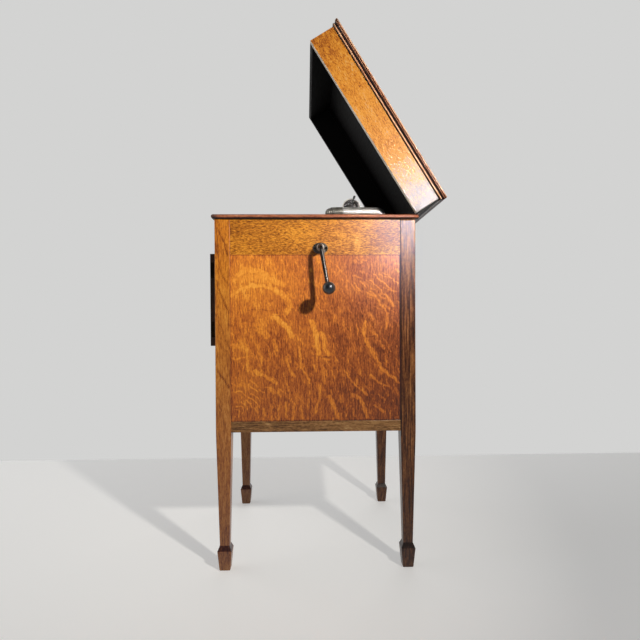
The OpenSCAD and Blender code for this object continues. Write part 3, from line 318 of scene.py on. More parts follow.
oakLooks = {
    "Quarter-sawn oak, side panel": {
        "stops": rampStops("#401A0C #8A4218 #C46C26 #E68E2C #F4A83E"),
        "sizes": {"streak": (2.6, 2.6, 20), "speckle": (3.0, 3.0, 6)},
        "weights": {"drift": 0.2, "streak": 0.9, "speckle": 0.5, "flake": 0.0, "line": -0.05},
        # the panel's tone attribute carries painted shade and a painted sheen as well as the wood's colour
        "attributes": {"rayFlake": 0.42, "panelToneShadeAndSheen": 0.36}, "tone": 0.3, "shade": (0.30, 0.80, 0.9),
        "coat": 0.55, "specular": 0.35},
    "Quarter-sawn oak, far panels": {
        "stops": goldenStops, "weights": {"drift": 0.4, "flake": 0.3}, "tone": 0.45,
        "shade": (0.30, 0.80, 0.6)},
    "Quarter-sawn oak, upper rail": {
        "stops": yellowStops, "turn": alongY, "tone": 0.46, "coat": 0.32,
        "sizes": {"streak": (2.6, 2.6, 9), "speckle": (2.7, 2.7, 5), "pore": (1.6, 1.6, 7)},
        "weights": {"streak": 0.9, "speckle": 0.9, "pore": -0.34, "line": 0.0, "flake": 0.1},
        # the two negative stains darken the rail's right end as painted shade, tempering the sheen there
        "stainsAndPaintedLight": [((238, 105, 818), (40, 11, 34), 0.2), ((238, 60, 842), (40, 26, 14), 0.14),
                   ((238, -40, 850), (40, 70, 30), 0.1), ((238, 150, 806), (40, 40, 24), -0.08),
                   ((238, 200, 835), (40, 90, 70), -0.2)]},
    "Quarter-sawn oak, lower rail": {
        "stops": oliveStops, "turn": alongY, "tone": 0.55,
        "stainsAndPaintedLight": [((238, -190, 420), (60, 190, 60), 0.1)]},
    # the front leg turns darker and bluish-grey towards the floor: painted shade and painted cool light, with
    # dust
    "Plain-sawn oak, front leg": {
        "stops": goldenStops, "lineRun": (0.03, 0.02, 0.004), "lineBend": 1.6,
        "weights": {"line": -0.12, "drift": 0.5, "streak": 0.7, "speckle": 0.4, "flake": 0.0},
        "attributes": {"growthLine": -0.34, "paintedLightAndPatina": 1.0}, "tone": 0.55,
        "shade": (0.05, 0.75, (0.6, 0.73, 3.2))},
    # the rear leg turns darker and greyer towards the floor, painted shade and cool light with dust; its pale
    # spot at the top is a painted sheen
    "Rift-sawn oak, rear leg": {
        "stops": rampStops("#2A1206 #552B10 #7F4A1E #A5672E #C08848"), "sizes": {"streak": (3.0, 3.0, 70)},
        "weights": {"streak": 1.6, "drift": 0.5, "flake": 0.05, "line": -0.1},
        "attributes": {"growthLine": -0.3, "paintedLightAndPatina": 1.0}, "tone": 0.43,
        "shade": (0.05, 0.75, (0.56, 0.68, 1.5)), "specular": 0.25,
        "stainsAndPaintedLight": [((238, 231, 840), (60, 60, 150), 0.12)]},
    "Plain-sawn oak, front rails": {"stops": goldenStops, "turn": alongX, "tone": 0.45},
    "Stained oak, back": {"stops": brownStops},
    "Stained oak, cross rails": {"stops": brownStops, "turn": alongX},
    "Stained oak, inside": {"stops": darkStops, "turn": alongX, "coat": 0.05, "roughness": 0.6},
    "Stained oak, doors": {"stops": darkStops, "tone": 0.85, "weights": {"streak": 0.5, "speckle": 0.2}},
    "Oak moulding, deck sides": {**deckMoulding, "turn": alongY},
    "Oak moulding, deck front": {**deckMoulding, "turn": alongX},
    "Oak, motor board": {"stops": brownStops, "turn": alongX, "tone": 0.6},
    "Quarter-sawn oak, lid sides": {
        "stops": paintedSheenStops, "turn": lidAlongY, "sizes": {
            "streak": (2.8, 2.8, 12), "speckle": (2.8, 2.8, 5), "drift": (30, 30, 80), "pore": (1.6, 1.6, 7)},
        "weights": {"streak": 0.6, "speckle": 0.6, "pore": -0.26, "line": 0.0, "flake": 0.1, "drift": 0.5},
        "attributes": {"paintedSheenAndShade": 1.0}, "tone": 0.51, "coat": 0.3, "specular": 0.25},
    "Quarter-sawn oak, lid ends": {"stops": goldenStops, "turn": lidAlongX, "tone": 0.45},
    "Quarter-sawn oak, lid top": {"stops": goldenStops, "turn": lidAlongX, "weights": {"flake": 0.3}},
    "Oak moulding, lid moulding sides": {**lidMouldings, "turn": lidAlongY, "tone": 0.52},
    "Oak moulding, lid moulding ends": {**lidMouldings, "turn": lidAlongX, "tone": 0.34, "coat": 0.1},
    "Stained oak, lid back": {
        "stops": darkStops, "turn": lidAlongX, "tone": 0.45, "coat": 0.0, "specular": 0.15, "roughness": 0.7},
    # the rim's pale ramp is a painted highlight along the near side's lower edge, with wear
    "Rubbed oak, lid rim": {
        "stops": rampStops("#8A6A4C #D9C3A6 #F2E6D4", (0.0, 0.4, 1.0)), "turn": lidAlongY, "tone": 0.7},
    # near-black: painted shade inside the lid, over a dark stain
    "Stained oak, lid lining": {
        "stops": rampStops("#050405 #0B0809 #17100E", (0.0, 0.5, 1.0)), "turn": lidAlongX, "coat": 0.0,
        "specular": 0.2, "roughness": 0.75},
}
oak = {name.split(", ")[1]: oakMaterial(name, look) for name, look in oakLooks.items()}

# Finishes: name, dark and pale colour, metallic, roughness, its spread, slow, fine, bump, relief
surfaceLooks = {
    # bright plating over brass: soft smudges in the gloss
    "nickel": ("Nickel plating", "#A6A39F #CECBC7", 0.9, 0.48, 0.04, 18, 3, 0.02, 0.03),
    # plating that has gone grey and dirty in the ribs of the tone arm's sleeve
    "greyNickel": ("Tarnished nickel plating", "#575550 #969389", 0.85, 0.42, 0.04, 12, 2, 0.02),
    # plating gone dull on the crank's plate
    "dullNickel": ("Worn nickel plating", "#2A2725 #8E8780", 1.0, 0.32, 0.1, 7, 1.5, 0.15),
    # blacked brass of the soundbox's cover: dark, with glints on its edges
    "blacked": ("Blackened brass", "#0F0E0D #56524D", 1.0, 0.24, 0.08, 6, 1.5, 0.1),
    # gears and weights: rolled sheet, lacquered once
    "brass": ("Aged brass", "#6E5426 #B8954E", 1.0, 0.33, 0.1, 12, 1.5, 0.1),
    # brass hinges browned under old finish
    "bronze": ("Browned brass", "#15100B #3B2C1A", 1.0, 0.42, 0.1, 10, 1.5, 0.12),
    # heat-blackened forging of the crank: dark, with a soft shine
    "iron": ("Blackened steel", "#1E1C1B #464240", 1.0, 0.27, 0.03, 9, 2, 0.03),
    # the crank's hub, rubbed bright where it is gripped
    "rubbedIron": ("Rubbed steel", "#7C7671 #CFC8C2", 1.0, 0.3, 0.05, 9, 2, 0.04),
    # turned and ebonised ball, polished by hands; its bluish specular tint paints the reflections blue-grey
    "ebony": ("Ebonised wood", "#040405 #0C0C0F", 0.0, 0.32, 0.04, 12, (0.8, 0.8, 5), 0.02, 0.1, 0.4, {
        "Coat Weight": 0.8, "Coat Roughness": 0.26, "Coat IOR": 1.7, "Specular IOR Level": 0.35,
        "Specular Tint": hexColour("#B8CCF0")}),
    # black lacquer baked on a rough casting: dull and grainy
    "castIron": ("Japanned cast iron", "#0C0C0D #26262A", 0.0, 0.5, 0.1, 20, 1.5, 0.4, 0.3),
    # matted fibres: no gloss, and a soft sheen where the surface turns away
    "felt": ("Pressed wool felt", "#1F3A26 #3F6144", 0.0, 0.95, 0.03, 24, 0.9, 0.7, 0.4, 0.8, {
        "Sheen Weight": 0.4, "Sheen Roughness": 0.5}),
    # split sheet, smooth and cloudy
    "mica": ("Split mica", "#0E0D0C #2A2722", 0.0, 0.25, 0.08, 11, 1.4, 0.08),
    # ground and turned: fine marks to one side in the gloss
    "steel": ("Machined steel", "#5E6062 #9B9DA0", 1.0, 0.32, 0.08, 16, (0.8, 6, 0.8), 0.1),
}
surface = {key: surfaceMaterial(*entry) for key, entry in surfaceLooks.items()}
print("materials made:", len(oak) + len(surface))


# Closed skin of rings: quads join each ring to the next and one face closes each end.
# Its faces are turned outward by the sign of the enclosed volume.
def skin(rings):
    rings = np.asarray(rings, dtype=float)
    rows, columns = rings.shape[:2]
    index = np.arange(rows * columns).reshape(rows, columns)
    near, far = index[:-1], index[1:]
    quads = np.stack([near, np.roll(near, -1, 1), np.roll(far, -1, 1), far], -1).reshape(-1, 4)
    caps = [index[0][::-1], index[-1]]
    points = rings.reshape(-1, 3)
    local = points - points.mean(0)
    corner = local[quads]
    volume = (np.cross(corner[:, 2] - corner[:, 0], corner[:, 3] - corner[:, 1]) * corner.mean(1)).sum()
    for cap in caps:
        edge = local[cap]
        volume += np.cross(edge, np.roll(edge, -1, 0)).sum(0) @ edge.mean(0)
    if volume < 0:
        quads, caps = quads[:, ::-1], [cap[::-1] for cap in caps]
    return points, quads, caps


# One finished piece from its skins. A quad whose sides are all longer than flatFrom is a
# flat face, and the narrow ones between are rounded edges. Choose gives each face the number
# of its material from its middle.
def makePiece(name, skins, body, materials, hides, flatFrom=1e9, onLid=False, choose=None,
              attributes=None):
    points, faces, flat, middle, start = [], [], [], [], 0
    for spots, quads, caps in skins:
        corner = spots[quads]
        sides = np.linalg.norm(corner - np.roll(corner, -1, 1), axis=-1).min(1)
        flat += [sides > flatFrom, np.ones(len(caps), bool)]
        middle += [corner.mean(1), np.array([spots[cap].mean(0) for cap in caps]).reshape(-1, 3)]
        faces += (quads + start).tolist() + [(cap + start).tolist() for cap in caps]
        points.append(spots)
        start += len(spots)
    points = np.concatenate(points)
    mesh = bpy.data.meshes.new(name)
    mesh.from_pydata(place(turnLid(points, lidAngle) if onLid else points), [], faces)
    mesh.polygons.foreach_set("use_smooth", ~np.concatenate(flat))
    for material in materials:
        mesh.materials.append(material)
    if choose:
        mesh.polygons.foreach_set("material_index", choose(np.concatenate(middle)).astype(np.int32))
    for attributeName, values in (attributes or {}).items():
        layer = mesh.attributes.new(attributeName, "FLOAT", "POINT")
        layer.data.foreach_set("value", np.asarray(values, dtype=np.float32).ravel())
    mesh.update()
    piece = addObject(name, mesh)
    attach(piece, body)
    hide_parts(*hides)


# Boxes of a node's separate solids, in cabinet millimetres, with the lid's nodes shut first
def solidBoxes(name, onLid=False):
    work = bmesh.new()
    work.from_mesh(frame["nodes"][name].data)
    bmesh.ops.remove_doubles(work, verts=work.verts, dist=1e-6)
    work.verts.ensure_lookup_table()
    spots = unplace(np.array([v.co for v in work.verts]))
    if onLid:
        spots = turnLid(spots, -lidAngle)
    left, boxes = set(range(len(work.verts))), []
    while left:
        front, group = [left.pop()], []
        while front:
            here = front.pop()
            group.append(here)
            for edge in work.verts[here].link_edges:
                other = edge.other_vert(work.verts[here]).index
                if other in left:
                    left.discard(other)
                    front.append(other)
        boxes.append((spots[group].min(0), spots[group].max(0)))
    work.free()
    return sorted(boxes, key=lambda box: tuple(np.round(box[0] + box[1], 1)))


# Closed loop of a rectangle with rounded corners: four quarter circles of the given radius,
# with evenly spaced points on the straight sides between them
def roundedLoop(halfA, halfB, radius, perCorner=4, between=0):
    quarter = np.arange(4)[:, None] * math.pi / 2
    angle = quarter + np.linspace(0, math.pi / 2, perCorner)
    corners = np.stack([
        np.array([1, -1, -1, 1])[:, None] * (halfA - radius) + radius * np.cos(angle),
        np.array([1, 1, -1, -1])[:, None] * (halfB - radius) + radius * np.sin(angle)], -1)
    share = np.linspace(0, 1, between + 2)[1:-1, None]
    sides = corners[:, -1:] * (1 - share) + np.roll(corners[:, :1], -1, 0) * share
    loop = np.concatenate([corners, sides], 1).reshape(-1, 2)
    return loop[:, 0], loop[:, 1]


# A board with eased edges: a rounded rectangle carried along one axis, drawn in by a
# quarter circle at both ends
def easedBoard(low, high, axis, ease=0.9, between=0):
    low, high = np.asarray(low, float), np.asarray(high, float)
    half, middle = (high - low) / 2, (high + low) / 2
    a, b = [i for i in range(3) if i != axis]
    sweep = np.linspace(0, math.pi / 2, 4)
    inset = ease * (1 - np.sin(sweep))
    offset = ease * (1 - np.cos(sweep))
    inset = np.concatenate([inset, np.zeros(between), inset[::-1]])
    along = np.concatenate([low[axis] + offset, np.linspace(low[axis], high[axis], between + 2)[1:-1],
                            high[axis] - offset[::-1]])
    rings = []
    for draw, spot in zip(inset, along):
        ring = np.zeros((16, 3))
        ring[:, a], ring[:, b] = roundedLoop(half[a] - draw, half[b] - draw, max(ease - draw, 0.12))
        ring[:, a] += middle[a]
        ring[:, b] += middle[b]
        ring[:, axis] = spot
        rings.append(ring)
    return skin(rings)


# Distance of grid points from a chain of short lines, each with its own length
def chainDistance(u, v, chain):
    best = np.full(u.shape, 1e9)
    for (u0, v0), (u1, v1) in zip(chain[:-1], chain[1:]):
        du, dv = u1 - u0, v1 - v0
        share = np.clip(((u - u0) * du + (v - v0) * dv) / (du * du + dv * dv), 0, 1)
        best = np.minimum(best, np.hypot(u - u0 - share * du, v - v0 - share * dv))
    return best


# Smooth seeded unevenness: a sum of sine waves in random directions
def unevenness(u, v, size, seed, waves=14):
    draw = np.random.default_rng(seed)
    total = np.zeros(u.shape)
    for angle, phase, stretch in draw.random((waves, 3)):
        turn = angle * 2 * math.pi
        rate = (0.6 + 0.8 * stretch) * 2 * math.pi / size
        total += np.sin((u * math.cos(turn) + v * math.sin(turn)) * rate + phase * 2 * math.pi)
    return total / math.sqrt(waves)


# Legs: rounded squares stacked from the sole over the spade foot and up the long taper.
# The sides are finely divided, so that growth lines, dirt and painted shade can follow them.
legShape = {
    "round": 1.3, "between": 16, "rise": 4.0, "taper": (66, 875), "wide": 38.0,
    "stations": [  # height and width
        (0.0, 24.6), (0.9, 26.2), (2.2, 27.2), (48.6, 35.7), (49.7, 36.0), (50.6, 35.2), (61.2, 25.3),
        (62.0, 24.8), (63.5, 24.6), (338, 37.7), (344, 37.9), (352, 38.0), (877.9, 38.0)]}
# growth lines on the outer faces: points in percent across and millimetres
# up, a width in millimetres and a strength
legLines = {
    "front": [
        ([(18, 876), (36, 860)], 1.6, 0.6), ([(24, 852), (45, 835), (66, 813), (84, 788)], 2.2, 1.0),
        ([(44, 846), (62, 826), (80, 802)], 1.2, 0.4),
        ([(10, 822), (15, 803), (31, 764), (45, 743), (65, 725), (92, 714)], 2.0, 0.8),
        ([(6, 790), (20, 752), (34, 736)], 1.2, 0.4),
        ([(13, 731), (24, 705), (51, 686), (70, 660), (91, 644)], 2.4, 1.0),
        ([(10, 700), (28, 676), (45, 662)], 1.2, 0.4),
        ([(15, 643), (33, 618), (54, 595), (74, 574), (92, 556)], 1.8, 0.7),
        ([(72, 690), (86, 640), (88, 560)], 1.4, 0.35),
        ([(19, 502), (36, 492), (52, 483), (72, 466), (90, 458)], 2.6, 1.0),
        ([(24, 415), (37, 399), (64, 402)], 2.0, 0.7), ([(14, 560), (12, 500), (16, 440)], 1.2, 0.4),
        ([(20, 360), (34, 300), (52, 262)], 1.2, 0.5), ([(60, 330), (72, 250), (66, 160)], 1.2, 0.5)],
    "rear": [
        ([(40, 890), (44, 851), (42, 801)], 2.0, 1.0), ([(72, 880), (78, 800), (74, 700)], 1.4, 0.5),
        ([(22, 800), (28, 690), (24, 600)], 1.4, 0.5), ([(58, 700), (64, 600), (56, 480)], 1.8, 0.6),
        ([(84, 760), (88, 640), (90, 420)], 1.8, 0.7), ([(36, 560), (42, 460), (34, 380)], 1.4, 0.6),
        ([(16, 500), (22, 420), (30, 300)], 1.6, 0.5), ([(50, 330), (60, 240), (48, 140)], 1.6, 0.6)]}
# how far lines wander, as (size of the waves, reach) in millimetres, and the tone of the painted
# shade in the joint gaps beside the rails, of the dirt on the foot's shoulder and on the foot, and
# of the pale chips where it is chipped
legWander = {"y": (26, 0.9), "z": (30, 2.5), "edge": 0.6}
legDirtAndShade = {"front": 0.14, "rear": 0.75, "jointWide": 1.5, "jointFrom": 334.0, "shoulder": 0.42,
           "shoulderFrom": 50, "shoulderTo": 63, "foot": 0.08, "chipped": 0.16, "chippedTo": 9,
           "chipSway": 5, "chipSize": 9, "chipEdge": 4}
for legName in ("leg_front_right", "leg_front_left", "leg_rear_right", "leg_rear_left"):
    kind = legName.split("_")[1]
    low, high = nodeBox(legName)
    spotX, spotY = (low[0] + high[0]) / 2, (low[1] + high[1]) / 2
    stationZ, stationWidth = np.array(legShape["stations"]).T
    heights = np.unique(np.concatenate([stationZ, np.arange(*legShape["taper"], legShape["rise"])]))
    rings = []
    for height, width in zip(heights, np.interp(heights, stationZ, stationWidth)):
        x, y = roundedLoop(width / 2, width / 2, legShape["round"], between=legShape["between"])
        rings.append(np.stack([spotX + x, spotY + y, np.full_like(x, height)], -1))
    rings = np.array(rings)
    legY, legZ = rings[..., 1], rings[..., 2]
    (sizeY, reachY), (sizeZ, reachZ) = legWander["y"], legWander["z"]
    unevenY = legY - low[1] + reachY * unevenness(legY, legZ, sizeY, seed=21)
    unevenZ = legZ + reachZ * unevenness(legY, legZ, sizeZ, seed=22)
    growthLine = np.zeros(legY.shape)
    for chain, width, strength in legLines[kind]:
        spots = [(across * legShape["wide"] / 100, up) for across, up in chain]
        near = chainDistance(unevenY, unevenZ, spots) / (width * legWander["edge"])
        growthLine = np.maximum(growthLine, strength * np.clip(1.5 - near, 0, 1))

    # painted shade in the joint gaps: the leg darkens towards its edge beside the rails and panel
    inward = (legY - low[1]) if kind == "rear" else (high[1] - legY)
    paintedLightAndPatina = -legDirtAndShade[kind] * np.clip(1.6 - inward / legDirtAndShade["jointWide"], 0, 1) * (
        legZ > legDirtAndShade["jointFrom"])
    paintedLightAndPatina = paintedLightAndPatina - legDirtAndShade["shoulder"] * (
        (legZ > legDirtAndShade["shoulderFrom"]) & (legZ < legDirtAndShade["shoulderTo"]))
    paintedLightAndPatina = paintedLightAndPatina - legDirtAndShade["foot"] * (legZ < legDirtAndShade["shoulderFrom"])
    chipTop = legDirtAndShade["chippedTo"] + legDirtAndShade["chipSway"] * unevenness(
        legY, rings[..., 0], legDirtAndShade["chipSize"], seed=23)
    paintedLightAndPatina += legDirtAndShade["chipped"] * np.clip((chipTop - legZ) / legDirtAndShade["chipEdge"], 0, 1)
    makePiece(legName + "_oak", [skin(rings)], "cabinet", [oak[kind + " leg"]], [legName],
              flatFrom=2.2, attributes={"growthLine": growthLine, "paintedLightAndPatina": paintedLightAndPatina})
print("legs made")


# The near side panel: one wide quarter-sawn board. The ray flakes are listed as chains of
# points in percent of the panel's width and height, with a width in millimetres and a strength.
panelGrid = {"across": 300, "up": 292}
bigFlakes = [
    ([(5, 88), (8, 91), (15, 90.5), (21, 88), (25, 85), (31, 82)], 13, 0.5),
    ([(0, 75), (5, 79), (12, 81.5), (19, 81.5), (26, 79), (30, 76)], 8, 0.65),
    ([(26, 79), (31, 76), (34, 72), (35, 69), (33, 66)], 14, 0.7), ([(8, 86), (16, 86), (23, 84)], 16, 0.3),
    ([(26, 63), (30, 59), (34, 56), (36, 51)], 13, 0.9), ([(17, 55), (21, 52)], 17, 0.6),
    ([(25, 48), (27, 43)], 10, 0.7), ([(47.5, 60), (50, 53), (50.5, 46), (52, 41)], 13, 0.9),
    ([(53, 53), (55, 49), (55, 44), (57.5, 40)], 11, 0.85), ([(54, 37), (58, 37)], 5, 0.6),
    ([(48.5, 34), (50, 30)], 6, 0.6), ([(53.5, 33), (55, 23)], 8, 0.6),
    ([(52, 21), (52, 14), (49.5, 5)], 8, 0.7),
    ([(58, 14.5), (60.5, 9), (63, 2)], 10, 0.8), ([(67, 30), (71.5, 23), (76, 19), (80, 15.5)], 5, 0.8),
    ([(71.5, 15.5), (76, 13.5), (78, 8.5), (80, 2)], 9, 0.8),
    ([(79, 60), (78.5, 52), (81, 45), (85.5, 37.5), (89, 31), (93.5, 27.5), (99, 23)], 7.5, 0.9),
    ([(82, 27.5), (87, 23), (93.5, 20)], 5, 0.8), ([(87.5, 48), (90.5, 43)], 6, 0.8),
    ([(85, 52), (86, 51)], 6, 0.7), ([(82, 65), (84, 61)], 6, 0.75),
    ([(82, 77.5), (85.5, 74.8), (88, 70.5), (91, 67), (92.3, 64), (91.5, 55)], 5, 0.85),
    ([(91, 76.5), (96, 69)], 6, 0.8), ([(87.5, 15.5), (90.5, 12)], 6, 0.7), ([(84.5, 9), (90, 5)], 6, 0.7),
    ([(9.3, 43), (10, 30)], 6, 0.7), ([(32.5, 39), (34, 32), (37, 27)], 7, 0.75),
    ([(40, 44), (41, 38), (41.5, 32), (45.5, 26), (46, 23)], 5, 0.8),
    ([(14.5, 30), (20.5, 27), (26.5, 23)], 9, 0.85),
    ([(11, 25), (16, 21)], 5, 0.6), ([(20.5, 21), (28, 17)], 5, 0.7), ([(28, 20), (34, 14)], 4, 0.5),
    ([(15, 9), (16, 2)], 5, 0.6), ([(19, 8), (19, 1)], 5, 0.6), ([(23.5, 10), (24, 1)], 5, 0.6),
    ([(28, 9), (28, 1)], 5, 0.7), ([(32, 11), (32.5, 2)], 5, 0.7), ([(37, 10), (36, 1)], 6, 0.6),
    ([(41, 9), (42, 2)], 5, 0.6), ([(1, 45.5), (7, 45)], 12, 0.5), ([(1, 38), (9, 38)], 6, 0.5),
    ([(60, 66), (61, 60)], 7, 0.4), ([(66, 62), (67, 54)], 5, 0.5), ([(71, 60), (70, 50)], 5, 0.4)]
# close ripples in the lower left and the upper right corner, all of one width
ripples = [
    [(1, 18.3), (6.5, 18), (8.3, 15.4)], [(10.5, 22), (13.6, 19.5), (15.7, 18)],
    [(11.7, 16.4), (15.1, 14.8), (17.3, 12)], [(10.2, 14.5), (13.6, 12.9), (15.7, 10.4), (17, 8)],
    [(8.6, 12.9), (11.4, 11), (12.5, 8)], [(5.6, 12), (8.3, 10.4), (9.6, 7.5)],
    [(3, 9.8), (5.9, 9.1), (7.4, 7), (6.5, 4.5)], [(2, 7.8), (4, 7.5), (5.2, 6), (4.3, 3.5)],
    [(82, 84.5), (86, 81), (90.3, 76.8)], [(87.6, 85.6), (91.7, 82), (96.4, 77.3)],
    [(93.5, 86.8), (98.8, 82.4)], [(84, 88), (89, 84)], [(73, 82.5), (76.5, 78)], [(76.5, 84.3), (80, 80)]]
darkMarks = [([(10, 66.8), (24, 67)], 2.2, 0.5), ([(24, 63.3), (29, 63)], 2.2, 0.6),
             ([(53, 38.6), (58, 38.8)], 2.2, 0.6), ([(81, 51), (84, 50.6)], 2.2, 0.6)]

panelLow, panelHigh = nodeBox("right_side_panel")
panelWide, panelTall = panelHigh[1] - panelLow[1], panelHigh[2] - panelLow[2]
gridY = np.linspace(panelLow[1], panelHigh[1], panelGrid["across"])
gridZ = np.linspace(panelLow[2], panelHigh[2], panelGrid["up"])
panelV, panelU = np.meshgrid(gridZ - panelLow[2], gridY - panelLow[1], indexing="ij")
# the strokes' edges are ragged: waves of 16, 6 and 20 mm move the grid's points
ragU = panelU + 1.1 * unevenness(panelU, panelV, 16, seed=3) + 0.6 * unevenness(panelU, panelV, 6, seed=4)
ragV = panelV + 1.6 * unevenness(panelU, panelV, 20, seed=5)


# How strongly grid points lie inside a chain's stroke: 1 within it, fading over its edge
def stroke(chain, width, edge=0.5):
    near = chainDistance(ragU, ragV, chain) / (width / 2)
    return np.clip((1 + edge / 2 - near) / edge, 0, 1)


def percentStroke(chain, width, edge=0.5):
    return stroke([(u * panelWide / 100, v * panelTall / 100) for u, v in chain], width, edge)


rippleLook = {"wide": 2.8, "strength": 0.85, "edge": 0.8, "lowerLeft": 0.3, "upperRight": (0.72, 0.66),
              "lean": 28, "long": 0.8, "thinner": 0.7}
rayFlake = np.zeros(panelU.shape)
for chain, width, strength in bigFlakes:
    rayFlake = np.maximum(rayFlake, strength * percentStroke(chain, width))
for chain in ripples:
    rayFlake = np.maximum(rayFlake, rippleLook["strength"] * percentStroke(
        chain, rippleLook["wide"], rippleLook["edge"]))

# Small flakes between them: short slanting strokes, steeper to the left and at the bottom,
# and close ripples in the lower left and the upper right corner. Each has a length, width and
# strength between a least and a most, and a lean in degrees that sways.
smallFlakes = {"count": 520, "seed": 11, "long": (7, 27), "wide": (2.6, 5.0), "strength": (0.25, 0.65),
               "edge": 0.9, "lean": 12, "sway": 26, "leanRight": 24, "leanLow": 14, "lowTo": 0.15}
rippleU, rippleV = rippleLook["upperRight"]
draw = np.random.default_rng(smallFlakes["seed"])
for u, v, length, width, strength, sway in draw.random((smallFlakes["count"], 6)):
    ripple = max(u, v) < rippleLook["lowerLeft"] or (u > rippleU and v > rippleV)
    lean = math.radians(
        smallFlakes["lean"] + smallFlakes["leanRight"] * u * (0.4 + v) + smallFlakes["sway"] * (sway - 0.5)
        - smallFlakes["leanLow"] * (v < smallFlakes["lowTo"]) + rippleLook["lean"] * ripple)
    long = np.interp(length ** 2, (0, 1), smallFlakes["long"]) * (rippleLook["long"] if ripple else 1.0)
    spotU, spotV = u * panelWide, v * panelTall
    reach = (math.sin(lean) * long / 2, -math.cos(lean) * long / 2)
    chain = [(spotU - reach[0], spotV - reach[1]), (spotU + reach[0], spotV + reach[1])]
    wide = np.interp(width, (0, 1), smallFlakes["wide"]) - rippleLook["thinner"] * ripple
    rayFlake = np.maximum(rayFlake, np.interp(strength, (0, 1), smallFlakes["strength"]) * stroke(
        chain, wide, smallFlakes["edge"]))
# every stroke grows weaker and stronger along its length, in waves of 9 mm
rayFlake *= 0.9 + 0.14 * unevenness(panelU, panelV, 9, seed=6)

# Tone of the panel, partly the wood's colour and partly painted light: golden at the upper left,
# darker towards the right and the bottom, partly as painted shade where the key's light falls off,
# a painted sheen at the upper right, slow waves, a golden spot, and painted shade in the joint
# gaps at the edges
panelToneAndLight = {"base": 0.7, "across": -0.66, "up": 0.2, "shadeLowRight": -0.16, "sheenTopRight": 0.7,
              "waves": 0.12, "spot": 0.34, "spotAt": (0.17, 0.81), "spotWide": 0.026}
shareU, shareV = panelU / panelWide, panelV / panelTall
spotU, spotV = panelToneAndLight["spotAt"]
panelToneShadeAndSheen = (
    panelToneAndLight["base"] + panelToneAndLight["across"] * shareU + panelToneAndLight["up"] * shareV
    + panelToneAndLight["shadeLowRight"] * shareU * (1 - shareV)
    # painted sheen: the upper right is lighter where the sheen lamp's glare falls
    + panelToneAndLight["sheenTopRight"] * shareU * (1.25 - shareU) * shareV ** 3
    + panelToneAndLight["waves"] * unevenness(panelU, panelV, 120, seed=7)
    + panelToneAndLight["spot"] * np.exp(-((shareU - spotU) ** 2 + (shareV - spotV) ** 2) / panelToneAndLight["spotWide"]))
for chain, width, strength in darkMarks:
    panelToneShadeAndSheen -= strength * percentStroke(chain, width)
# painted shade of the joint gaps: each edge darkens over 3 mm, given as strength and distance
jointShade = ((0.5, panelU), (1.5, panelWide - panelU), (0.7, panelV), (0.8, panelTall - panelV))
jointFade = 2.0
for strength, distance in jointShade:
    panelToneShadeAndSheen -= strength * np.clip(1.5 - distance / jointFade, 0, 1)

# Outline of the board seen from above: a finely divided face and two points at the plain back
rings = np.zeros((panelGrid["up"], panelGrid["across"] + 2, 3))
rings[:, :-2, 0], rings[:, -2:, 0] = panelHigh[0], panelLow[0]
rings[:, :-2, 1] = gridY
rings[:, -2, 1], rings[:, -1, 1] = panelHigh[1], panelLow[1]
rings[:, :, 2] = gridZ[:, None]
panelValues = {key: np.pad(values, ((0, 0), (0, 2))) for key, values in (
    ("rayFlake", rayFlake), ("panelToneShadeAndSheen", panelToneShadeAndSheen))}
makePiece("side_panel_oak", [skin(rings)], "cabinet", [oak["side panel"]], ["right_side_panel"],
          flatFrom=0.0, attributes=panelValues)
print("side panel made")

# Plain boards of the cabinet and the lid: node, axis of the grain, material, slot
boards = [
    ("left_side_panel", 2, "far panels", "golden_oak"),
    ("lower_side_rails", 1, "lower rail", "dark_oak"),
    ("front_rails", 0, "front rails", "golden_oak"),
    ("front_lower_panel", 2, "far panels", "golden_oak"),
    ("rear_rails", 0, "cross rails", "dark_oak"),
    ("back_panel", 2, "back", "dark_oak"),
    ("lid_side_boards", 1, "lid sides", "golden_oak"),
    ("lid_front_board", 0, "lid ends", "dark_oak"),
    ("lid_back_board", 0, "lid back", "dark_oak"),
    ("lid_top_board", 0, "lid top", "golden_oak")]
lidSideBoxes = solidBoxes("lid_side_boards", True)
lidTopLow, lidTopHigh = solidBoxes("lid_top_board", True)[0]
rimHigh, liningReach = 1.3, 0.6
lidRim = lidSideBoxes[0][0][2] + rimHigh
liningX, liningY, _ = lidTopHigh + liningReach


# 1 for the faces that line the lid's inside and for the far side's rim, near-black as painted
# shade over a dark stain, 2 for the rim of the near side, painted pale as a highlight and as wear,
# and 0 for the rest
def chooseLining(middle):
    x, y, z = middle.T
    inside = (np.abs(x) < liningX) & (np.abs(y) < liningY) & (z < lidTopLow[2] + 0.5)
    return np.where((z < lidRim) & (x > liningX), 2, inside | (z < lidRim))


